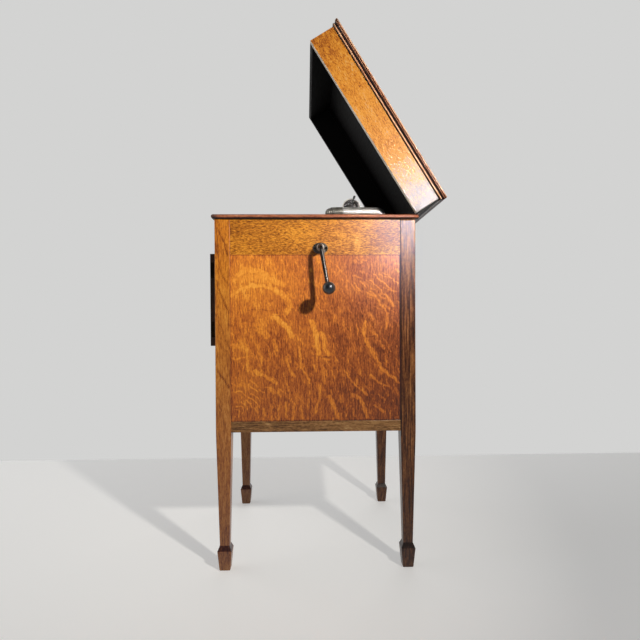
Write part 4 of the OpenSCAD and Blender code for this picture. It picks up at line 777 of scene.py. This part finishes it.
# Painted sheen and shade: the lid's sides are painted pale and grey towards the hinges, where
# the sheen lamp's glare falls, and darker brown at the front, where the key's light falls off.
# The far side, which was never seen, has less of it.
lidSheenAndShade = {"along": (-250, -205, -150, 60, 150, 200, 250), "tone": (-0.16, -0.08, 0.0, 0.0, 0.2, 0.42, 0.5),
            "waves": 0.16, "farSide": 0.4}
for nodeName, axis, wood, slotName in boards:
    onLid, sides = nodeName.startswith("lid"), nodeName == "lid_side_boards"
    skins = [easedBoard(low, high, axis, between=60 if sides else 0)
             for low, high in solidBoxes(nodeName, onLid)]
    x, y, z = np.concatenate([points for points, quads, caps in skins]).T
    paintedSheenAndShade = np.interp(y, lidSheenAndShade["along"], lidSheenAndShade["tone"]) * (
        1 + lidSheenAndShade["waves"] * unevenness(y, z, 40, seed=31)) * np.where(x > 0, 1.0, lidSheenAndShade["farSide"])
    makePiece(nodeName + "_oak", skins, "lid" if onLid else "cabinet",
              [oak[wood]] + ([oak["lid lining"], oak["lid rim"]] if onLid else []), [nodeName],
              flatFrom=2.2, onLid=onLid, choose=chooseLining if onLid else None,
              attributes={"paintedSheenAndShade": paintedSheenAndShade} if sides else None)
print("boards made")


# Points of a circle's arc, angles in degrees
def arc(centreX, centreY, radius, first, last, count):
    angle = np.radians(np.linspace(first, last, count))
    return np.stack([centreX + radius * np.cos(angle), centreY + radius * np.sin(angle)], -1)


# A straight moulding with mitred ends: the profile, as distance out and height, runs between
# two planes at 45 degrees, so each point's reach is the wall's half length plus its distance out.
# It is cut into short lengths, so that its shading stays even. Sides 0 and 2 face +X and -X,
# 1 and 3 face +Y and -Y.
barLengths = 24
mitreGap = 0.1


def mitredBar(profile, wallAcross, wallAlong, side, squareEnd=False):
    out, height = profile[:, 0], profile[:, 1]
    rings = []
    for end in (-1, 1):
        reach = wallAlong + out - mitreGap
        if squareEnd and end == 1:
            reach = np.full_like(out, wallAlong + out.max())
        ring = np.stack([wallAcross + out, end * reach, height], -1)
        if side % 2:
            ring = ring[:, [1, 0, 2]]
        if side in (2, 3):
            ring[:, side % 2] *= -1
        rings.append(ring)
    share = np.linspace(0, 1, barLengths + 1)[:, None, None]
    return skin(rings[0] * (1 - share) + rings[1] * share)


(_, _, deckUnder), (deckRight, _, deckTop) = nodeBox("deck_moulding")
deckNose = (deckTop - deckUnder) / 2
deckOut, deckIn = deckRight - halfWide, 18.8
# flat inside and half-round outside, with painted shadow under the nose, where the nose shades the rail, and
# darker along the top
deckProfile = np.concatenate([
    [(-deckIn, deckUnder), (deckOut - deckNose - 0.4, deckUnder)],
    arc(deckOut - deckNose, deckUnder + deckNose, deckNose, -90, 90, 17),
    [(deckOut - deckNose - 0.4, deckTop), (-deckIn, deckTop)]])
deckShadeAndTone = np.interp((deckProfile[:, 1] - deckUnder) / (deckTop - deckUnder),
                       [0, 0.22, 0.4, 0.7, 0.85, 0.96, 1], [-0.9, -0.5, 0.0, 0.06, -0.08, -0.3, -0.2])
deckBars = [mitredBar(deckProfile, halfWide, halfDeep, side, squareEnd=True) for side in (0, 2)]
makePiece("deck_moulding_sides", deckBars, "cabinet", [oak["deck sides"]], ["deck_moulding"],
          flatFrom=3, attributes={"paintedLightAndPatina": np.tile(deckShadeAndTone, 2 * barLengths + 2)})
rearBar = easedBoard((-halfWide + deckIn + mitreGap, halfDeep - deckIn, deckUnder),
                     (halfWide - deckIn - mitreGap, halfDeep, deckTop), 0)
frontBar = mitredBar(deckProfile, halfDeep, halfWide, 3)
deckShadeAndTone = np.pad(np.tile(deckShadeAndTone, barLengths + 1), (0, len(rearBar[0])))
makePiece("deck_moulding_ends", [frontBar, rearBar], "cabinet", [oak["deck front"]], ["deck_moulding"],
          flatFrom=3, attributes={"paintedLightAndPatina": deckShadeAndTone})

lidShelf = lidSideBoxes[0][1][2]
lidMouldingTop = max(high[2] for low, high in solidBoxes("lid_moulding", True))
lidMoulding = {"in": -12.0, "top": 2.0, "high": 19.0}
# from the wall up: quirk, bead, shallow cove, thin fillet, round nose, set-in top; the quirk, the cove
# and the groove under the nose are darkened as painted shade with dirt, and the bead, fillet and nose
# lightened as painted highlight with wear
lidProfile = np.concatenate([
    [(lidMoulding["in"], 0.0), (1.2, 0.0), (1.6, 1.0)], arc(2.2, 3.4, 2.5, -70, 70, 9),
    [(3.6, 6.2), (4.4, 7.8), (5.4, 9.4), (6.8, 10.2), (7.8, 10.6), (8.2, 11.1), (8.2, 12.0), (7.5, 12.6),
     (7.5, 13.0), (8.4, 13.2)], arc(4.5, 14.0, 4.5, -5, 80, 10),
    [(lidMoulding["top"], lidMoulding["high"]), (lidMoulding["in"], lidMoulding["high"])]])
lidShadeAndHighlight = np.interp(
    lidProfile[:, 1], [0, 1.1, 2.0, 4.8, 5.8, 7.0, 9.8, 10.4, 11.0, 12.0, 12.5, 13.1, 14.0, 15.5, 19],
    [-0.5, -0.45, 0.35, 0.5, -0.1, -0.6, -0.55, 0.1, 0.4, 0.2, -0.6, -0.6, 0.2, 0.45, 0.45])
lidProfile[:, 1] = lidShelf + lidProfile[:, 1] * (lidMouldingTop - lidShelf) / lidMoulding["high"]
for part, sides, wall, along in (("sides", (0, 2), halfWide, halfDeep), ("ends", (1, 3), halfDeep, halfWide)):
    makePiece("lid_moulding_" + part, [mitredBar(lidProfile, wall, along, side) for side in sides], "lid",
              [oak["lid moulding " + part], oak["lid lining"]], ["lid_moulding"], onLid=True,
              flatFrom=3, choose=chooseLining, attributes={"paintedLightAndPatina": np.tile(lidShadeAndHighlight, 2 * barLengths + 2)})
print("mouldings made")


# Circles carried along a path: each ring lies square to the path's direction
def sweptTube(path, radius, around=24, reference=(0, 1, 0)):
    path = np.asarray(path, float)
    radius = np.broadcast_to(radius, len(path))
    forward = np.gradient(path, axis=0)
    forward /= np.linalg.norm(forward, axis=1)[:, None]
    across = np.cross(forward, reference)
    across /= np.linalg.norm(across, axis=1)[:, None]
    upright = np.cross(across, forward)
    angle = np.linspace(0, 2 * math.pi, around, endpoint=False)
    return skin(path[:, None] + radius[:, None, None] * (
        np.cos(angle)[None, :, None] * across[:, None] + np.sin(angle)[None, :, None] * upright[:, None]))


# A turned form: a profile of (distance along the axis, radius) spun about a line along X or Z
def turnedForm(spot, axis, profile, around=48):
    profile = np.asarray(profile, float)
    angle = np.linspace(0, 2 * math.pi, around, endpoint=False)
    along = np.repeat(profile[:, :1], around, 1)
    first = profile[:, 1:] * np.cos(angle)
    second = profile[:, 1:] * np.sin(angle)
    order = {"x": (along, first, second), "z": (first, second, along)}[axis]
    return skin(np.stack(order, -1) + np.asarray(spot, float))


# Crank: hub, swept arm with a bend, end boss and the knob's pin, then the ball knob. The arm
# leaves the cabinet, bends round at "top" and slants out to "low" over the knob's pin.
crankSpot, knobSpot = jointSpot("crank_turn"), jointSpot("crank_knob_spin")
crankShape = {"hub": (9, 24, 9), "hubBore": 6.05, "hubRound": 3, "arm": 5.0, "bend": 9.0, "top": 36.0,
              "low": 50.0, "boss": 5.75, "pin": 2.5, "pinTo": 74}
armDown = math.hypot(knobSpot[1] - crankSpot[1], knobSpot[2] - crankSpot[2])
downward = np.array([0, knobSpot[1] - crankSpot[1], knobSpot[2] - crankSpot[2]]) / armDown


# A point of the crank from its distance out from the cabinet and down its arm
def crankPoints(out, down):
    out, down = np.asarray(out, float), np.asarray(down, float)
    base = np.array([halfWide, crankSpot[1], crankSpot[2]])
    return base + out[..., None] * np.array([1.0, 0, 0]) + down[..., None] * downward


# the bend: an arc that touches both straight lengths, so it starts its radius times the tangent
# of half the turn before their corner
armTurn = math.atan2(armDown, crankShape["low"] - crankShape["top"])
bendBack = crankShape["bend"] * math.tan(armTurn / 2)
bendSweep = np.linspace(0, armTurn, 9)
bendOut = crankShape["top"] - bendBack + crankShape["bend"] * np.sin(bendSweep)
bendDown = crankShape["bend"] * (1 - np.cos(bendSweep))
straight = np.linspace(0, 1, 12)[1:]
armOut = np.concatenate([[22, 25], bendOut, bendOut[-1] + straight * (crankShape["low"] - bendOut[-1])])
armDrop = np.concatenate([[0, 0], bendDown, bendDown[-1] + straight * (armDown - bendDown[-1])])
hubFrom, hubTo, hubRadius = crankShape["hub"]
hubRound = crankShape["hubRound"]
hubProfile = np.concatenate([
    [(hubFrom, crankShape["hubBore"]), (hubFrom, hubRadius - 0.8), (hubFrom + 0.8, hubRadius),
     (hubTo - hubRound, hubRadius)],
    arc(hubTo - hubRound, hubRadius - hubRound, hubRound, 90, 10, 6), [(hubTo, 3.0)]])
hub = turnedForm((halfWide, crankSpot[1], crankSpot[2]), "x", hubProfile)
boss = turnedForm(crankPoints(crankShape["low"], armDown), "x", arc(0, 0, crankShape["boss"], 178, 2, 19))
pin = sweptTube(crankPoints(np.linspace(crankShape["low"], crankShape["pinTo"], 5), np.full(5, armDown)),
                crankShape["pin"], 16, (0, 0, 1))
arm = sweptTube(crankPoints(armOut, armDrop), crankShape["arm"], 24, (0, 1, 0.001))


# 1 for the hub's faces, which lie near the cabinet and outside the arm
def chooseHub(middle):
    x, y, z = middle.T
    outsideArm = np.hypot(y - crankSpot[1], z - crankSpot[2]) > crankShape["arm"] + 0.5
    return (x < halfWide + hubTo + 1) & outsideArm


makePiece("crank_arm_steel", [hub, arm, boss, pin], "crank", [surface["iron"], surface["rubbedIron"]],
          ["crank_arm"], choose=chooseHub)

# the ball, with a short neck towards the crank
knobRadius = nodeBox("crank_knob")[1][0] - knobSpot[0]
knobProfile = np.concatenate([
    [(-knobRadius - 0.4, 2.6), (-knobRadius - 0.4, 6.4), (-knobRadius, 7.0), (-13.6, 7.1)],
    arc(0, 0, knobRadius, 150, 1, 40)])
makePiece("crank_knob_ball", [turnedForm(knobSpot, "x", knobProfile, 64)], "crank_grip", [surface["ebony"]],
          ["crank_knob"])
print("crank made")

# Tone arm: the tube rises from its base and bends forward into the sleeve
armX, armY, _ = jointSpot("tonearm_swing")
_, throwY, throwZ = jointSpot("soundbox_throw")
tubeShape = {"radius": 15.0, "foot": 18.5, "waist": (905, 17), "elbow": 10.0, "height": 915.0,
             "base": 872.0, "to": 70.0}
elbowSweep = np.linspace(0, math.pi / 2, 13)
tubeY = np.concatenate([
    [armY] * 3, armY - tubeShape["elbow"] * (1 - np.cos(elbowSweep)),
    np.linspace(armY - tubeShape["elbow"], tubeShape["to"], 12)[1:]])
tubeZ = np.concatenate([
    [tubeShape["base"], 880, 890], tubeShape["height"] - tubeShape["elbow"] * (1 - np.sin(elbowSweep)),
    np.full(11, tubeShape["height"])])
waistZ, waistRadius = tubeShape["waist"]
tubeRadius = np.interp(tubeZ, [tubeShape["base"], waistZ, tubeShape["height"]],
                       [tubeShape["foot"], waistRadius, tubeShape["radius"]])
tube = sweptTube(np.stack([np.full_like(tubeY, armX), tubeY, tubeZ], -1), tubeRadius, 48, (1, 0, 0))
collar = turnedForm((armX, armY, 0), "z", [
    (872.2, 15), (872.2, 16), (886.3, 16), (886.3, 17.4), (886.9, 18), (891.3, 18), (892, 17.4), (892, 15)])
makePiece("tonearm_tube_nickel", [tube, collar], "tonearm", [surface["nickel"]], ["tonearm_tube"])

# The sleeve: a flare over the tube, then a nose whose circles shrink and sink towards the
# soundbox's joint. Its radius swings by a cosine along the arm for the ribs.
sleeveShape = {"flareFrom": 75.0, "flareTo": 58.5, "flare": 15.3, "from": 58.0, "to": 28.2, "blunt": 3.4,
               "rib": 1.1, "pitch": 4.6, "ribsTo": 47.0, "sink": 2.0, "sinkOver": 30}
noseSweep = np.linspace(0, 1, 14)[1:]
noseY = sleeveShape["to"] + (sleeveShape["from"] - sleeveShape["to"]) * (1 - noseSweep)
noseRadius = np.sqrt(np.clip(1 - noseSweep ** sleeveShape["blunt"], 0.0008, 1)) * tubeShape["radius"]
ribsY = np.linspace(sleeveShape["from"], sleeveShape["to"], 90)
ribDepth = sleeveShape["rib"] * np.clip((sleeveShape["ribsTo"] - ribsY) / 2, 0, 1)
noseEnd = np.interp(ribsY, noseY[::-1], noseRadius[::-1])
ribRadius = np.minimum(tubeShape["radius"], noseEnd) - ribDepth * (
    0.5 + 0.5 * np.cos(ribsY * 2 * math.pi / sleeveShape["pitch"]))
sleeveY = np.concatenate([np.linspace(sleeveShape["flareFrom"], sleeveShape["flareTo"], 7), ribsY])
sleeveRadius = np.concatenate([np.full(7, sleeveShape["flare"]), np.maximum(ribRadius, 0.4)])
sleeveZ = tubeShape["height"] - sleeveShape["sink"] * np.clip(
    (sleeveShape["from"] - sleeveY) / sleeveShape["sinkOver"], 0, 1) ** 2
sleeve = sweptTube(np.stack([np.full_like(sleeveY, armX), sleeveY, sleeveZ], -1), sleeveRadius, 48, (1, 0, 0))
drum = turnedForm((0, throwY, throwZ), "x", [(104, 8.1), (104, 8.6), (104.4, 9.0), (136, 9.0), (136, 0.2)])


# 1 for the grooves between the ribs, which are dark with dirt
def chooseGroove(middle):
    y = middle[:, 1]
    return (y < sleeveShape["ribsTo"]) & (np.cos(y * 2 * math.pi / sleeveShape["pitch"]) > 0.1)


makePiece("tonearm_sleeve_grey", [sleeve, drum], "tonearm", [surface["greyNickel"], surface["dullNickel"]],
          ["tonearm_tube"], choose=chooseGroove)

# The crook: a bent pipe from the throw joint to the soundbox
boxY, boxZ = 102.0, 934.0
crookPath = [
    (132, throwY, throwZ), (112, throwY, throwZ), (95, throwY, throwZ), (89, throwY + 2.5, throwZ + 0.6),
    (87, throwY + 9, throwZ + 2.2), (87, 75, 927.5), (87, 93, 931.8), (89, 99.5, 933.4), (93, boxY, boxZ),
    (98, boxY, boxZ)]
crook = sweptTube(crookPath, [8, 8, 8, 7.8, 7.5, 7.5, 7.5, 7.8, 8, 8], 32, (0, 0.1, 1))
makePiece("tonearm_crook_nickel", [crook], "soundbox", [surface["nickel"]], ["tonearm_crook"])
boxLow, boxHigh = nodeBox("soundbox_case")
boxRadius = (boxHigh[2] - boxLow[2]) / 2
caseProfile = np.concatenate([
    [(97, 0.2), (97, boxRadius - 4)], arc(99.2, boxRadius - 3.2, 3.2, 150, 90, 5),
    [(110, boxRadius)], arc(111.4, boxRadius - 1.6, 1.6, 80, 0, 5),
    [(113, boxRadius - 2.6), (112.4, boxRadius - 3), (101, boxRadius - 3), (101, 0.2)]])
makePiece("soundbox_case_nickel", [turnedForm((0, boxY, boxZ), "x", caseProfile, 64)], "soundbox",
          [surface["nickel"]], ["soundbox_case"])
print("tone arm made")

# Turntable and mat: turned forms about the spindle. The hub is 14 mm deep and 14 mm in radius,
# the plate 5 mm thick, and the skirt 7 mm wide and 10 mm deep with a rolled outer edge.
spindleSpot = jointSpot("turntable_spin") * (1, 1, 0)
platterLow, platterHigh = nodeBox("platter")
platterTop, matTop = platterHigh[2], nodeBox("felt_mat")[1][2]
platterRadius = (platterHigh[0] - platterLow[0]) / 2
platterProfile = np.concatenate([
    [(platterTop - 14, 4.0), (platterTop - 14, 14), (platterTop - 5, 14), (platterTop - 5, platterRadius - 7),
     (platterTop - 10, platterRadius - 7)],
    arc(0, 0, 1.5, 180, 90, 5) + (platterTop - 8.5, platterRadius - 1.5),
    arc(0, 0, 2.0, 90, 0, 6) + (platterTop - 2.0, platterRadius - 2.0), [(platterTop, 4.0)]])
makePiece("platter_nickel", [turnedForm(spindleSpot, "z", platterProfile, 144)],
          "turntable", [surface["nickel"]], ["platter"])
matProfile = np.concatenate([
    [(platterTop, 4.0), (platterTop, platterRadius - 3.2)],
    arc(0, 0, 0.9, 0, 90, 5)[::-1] * (-1, 1) + (matTop - 0.9, platterRadius - 3.9),
    [(matTop, platterRadius - 5), (matTop, 60), (matTop, 4.0)]])
makePiece("felt_mat_wool", [turnedForm(spindleSpot, "z", matProfile, 144)], "turntable",
          [surface["felt"]], ["felt_mat"])
print("turntable made")

# CAD nodes that get eased edges: material, edge in millimetres, slot, nodes
copies = [
    (oak["upper rail"], 0.8, "golden_oak", ["upper_side_rails"]),
    (oak["motor board"], 0.6, "golden_oak", ["motor_board"]),
    (oak["doors"], 0.9, "dark_oak", ["right_door", "left_door"]),
    (oak["inside"], 0.4, "dark_oak", ["horn_boards"]),
    (oak["doors"], 0.8, "dark_oak", ["horn_louvres"]),
    (surface["dullNickel"], 0.35, "nickel_plate", ["crank_escutcheon"]),
    (surface["iron"], 0.15, "steel", ["escutcheon_screws"]),
    (surface["blacked"], 0.25, "nickel_plate", ["soundbox_cover"]),
    (surface["castIron"], 0.0, "black_iron", ["stylus_bar"]),
    (surface["nickel"], 0.4, "nickel_plate", ["tonearm_base"]),
    (surface["steel"], 0.0, "steel", ["spindle"]),
    (surface["nickel"], 0.3, "nickel_plate", ["brake_lever", "speed_lever"]),
    (surface["bronze"], 0.2, "brass", ["lid_hinge_leaves", "lid_hinge_flaps", "door_hinge_leaves",
                                       "right_door_flaps", "left_door_flaps"]),
    (surface["bronze"], 0.3, "brass", ["stay_guide"]),
    (surface["bronze"], 0.2, "brass", ["lid_stay"]),
    (surface["steel"], 0.2, "steel", ["motor_pillars"]),
    (surface["steel"], 0.0, "steel", ["winding_shaft"])]
creaseAngle = math.radians(35)


# A copy of a CAD node with its doubles merged, soft shading on round faces and eased edges
def dressCopy(nodeName, material, ease):
    source = frame["nodes"][nodeName]
    mesh = bpy.data.meshes.new(nodeName + "_finish")
    work = bmesh.new()
    work.from_mesh(source.data)
    bmesh.ops.remove_doubles(work, verts=work.verts, dist=1e-6)
    bmesh.ops.dissolve_limit(work, angle_limit=math.radians(0.5), verts=work.verts, edges=work.edges)
    for edge in work.edges:
        edge.smooth = edge.calc_face_angle(0) < creaseAngle
    for face in work.faces:
        face.smooth = True
    work.to_mesh(mesh)
    work.free()
    mesh.materials.clear()
    mesh.materials.append(material)
    piece = addObject(nodeName + "_finish", mesh)
    if ease:
        bevel = piece.modifiers.new("eased edges", "BEVEL")
        bevel.width = ease * mm
        bevel.segments = 2
        bevel.limit_method = "ANGLE"
        bevel.angle_limit = creaseAngle
    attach(piece, source["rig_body"])
    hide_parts(nodeName)


for material, ease, slotName, nodeNames in copies:
    for nodeName in nodeNames:
        dressCopy(nodeName, material, ease)
print("copies dressed:", sum(len(entry[-1]) for entry in copies))

# CAD nodes that stay as they are, with their finish
kept = [
    (oak["inside"], ["cabinet_floor", "board_ledgers"]),
    (surface["castIron"], ["horn_throat"]),
    (surface["steel"], ["motor_top_plate", "motor_bottom_plate", "governor_bracket", "mainspring",
                        "winding_arbor", "governor_spindle"]),
    (surface["brass"], ["intermediate_gear", "spring_barrel", "governor_weights"]),
    (surface["mica"], ["diaphragm"])]
for material, nodeNames in kept:
    for nodeName in nodeNames:
        mesh = frame["nodes"][nodeName].data
        mesh.materials.clear()
        mesh.materials.append(material)
print("kept nodes finished:", sum(len(nodeNames) for material, nodeNames in kept))


# 1 for what the camera sees, straight or in metal and through glass, 0 for light on the rest
def seenRays(tree, path):
    seen = path["Is Camera Ray"]
    for other in ("Is Glossy Ray", "Is Transmission Ray"):
        seen = addNode(tree, "Math", {"operation": "MAXIMUM"}, {0: seen, 1: path[other]})
    return seen


# Stage: a pale floor that ends behind the gramophone, as the photograph's platform does. It
# looks paler to the camera by its lift, which doesn't light the cabinet.
stageShape = {"back": -749.0, "front": 3600.0, "half": 2600.0, "thick": 60.0, "lift": 0.42, "ease": 4.0}
floorMaterial = bpy.data.materials.new("Painted floor")
floorTree = startTree(floorMaterial)
floorSeen = seenRays(floorTree, addNode(floorTree, "LightPath").outputs)
floorLift = addNode(floorTree, "Math", {"operation": "MULTIPLY", 1: stageShape["lift"]}, {0: floorSeen})
floorShader = addNode(floorTree, "BsdfPrincipled", {
    "Roughness": 0.75, "Base Color": hexColour("#E2E3E3"), "Emission Color": hexColour("#E4E3E1")},
    {"Emission Strength": floorLift})
addNode(floorTree, "OutputMaterial", links={"Surface": floorShader})
floorMesh = bpy.data.meshes.new("floor")
spots, quads, caps = easedBoard((stageShape["back"], -stageShape["half"], -stageShape["thick"]),
                                (stageShape["front"], stageShape["half"], 0.0), 0, stageShape["ease"])
floorMesh.from_pydata(place(spots), [], quads.tolist() + [cap.tolist() for cap in caps])
floorMesh.materials.append(floorMaterial)
addObject("floor", floorMesh)

# Lights: a small key from the photograph's side, a weak one for the sheen, wide fills for the
# far sides. Spots and targets are in cabinet millimetres, sizes in metres, power in watts.
lights = {
    "key": {"spot": (1502, 875, 1403), "target": (238, -110, 860), "size": (0.08, 0.08), "power": 6.1,
            "spread": 75, "colour": "#FFF9F0"},
    "sheen": {"spot": (2688, 788, 1370), "target": (238, 260, 865), "size": (0.15, 0.15), "power": 0.2,
              "spread": 12, "colour": "#E6E6F6"},
    "frontFill": {"spot": (-300, -2900, 1500), "target": (0, 0, 600), "size": (3.0, 2.4), "power": 22.0},
    "farFill": {"spot": (-2900, 600, 1700), "target": (0, 0, 600), "size": (3.0, 2.4), "power": 22.0},
}
for lightName, light in lights.items():
    lamp = bpy.data.lights.new(lightName, "AREA")
    lamp.shape = "RECTANGLE"
    lamp.size, lamp.size_y = light["size"]
    lamp.energy = light["power"]
    lamp.spread = math.radians(light.get("spread", 180))
    lamp.color = hexColour(light.get("colour", "#FFFFFF"))[:3]
    spot, target = place(light["spot"]), place(light["target"])
    forward = (target - spot) / np.linalg.norm(target - spot)
    across = np.cross(forward, (0, 0, 1.0))
    across /= np.linalg.norm(across)
    lampObject = addObject(lightName, lamp)
    lampObject.visible_camera = False
    aim(lampObject, light["spot"], across, np.cross(across, forward), forward)

# World: a weak even light, seen by the camera, by metal and by glass as a pale wall.
# Reflections of the room behind the camera, +X, are dim: the cosine of the ray's direction
# along X fades them there, while the camera itself sees the wall the same all round.
worldLook = {"ambient": 0.09, "wall": "#D3D3D2", "dim": 0.2, "dimFrom": -0.1, "dimTo": 0.5}
world = bpy.data.worlds.new("studio")
bpy.context.scene.world = world
worldTree = startTree(world)
path = addNode(worldTree, "LightPath").outputs
ambient = addNode(worldTree, "Background", {"Color": (1, 1, 1, 1), "Strength": worldLook["ambient"]})
direction = addNode(worldTree, "TexCoord").outputs["Generated"]
sideways = addNode(worldTree, "SeparateXYZ", links={"Vector": direction})
dimming = addNode(worldTree, "MapRange", {
    "From Min": worldLook["dimFrom"], "From Max": worldLook["dimTo"], "To Min": 1.0,
    "To Max": worldLook["dim"]}, {"Value": sideways.outputs["X"]})
strength = addNode(worldTree, "Math", {"operation": "MAXIMUM"}, {0: dimming, 1: path["Is Camera Ray"]})
wall = addNode(worldTree, "Background", {"Color": hexColour(worldLook["wall"])}, {"Strength": strength})
both = addNode(worldTree, "MixShader", links={0: seenRays(worldTree, path), 1: ambient, 2: wall})
addNode(worldTree, "OutputWorld", links={"Surface": both})
print("stage and lights set")
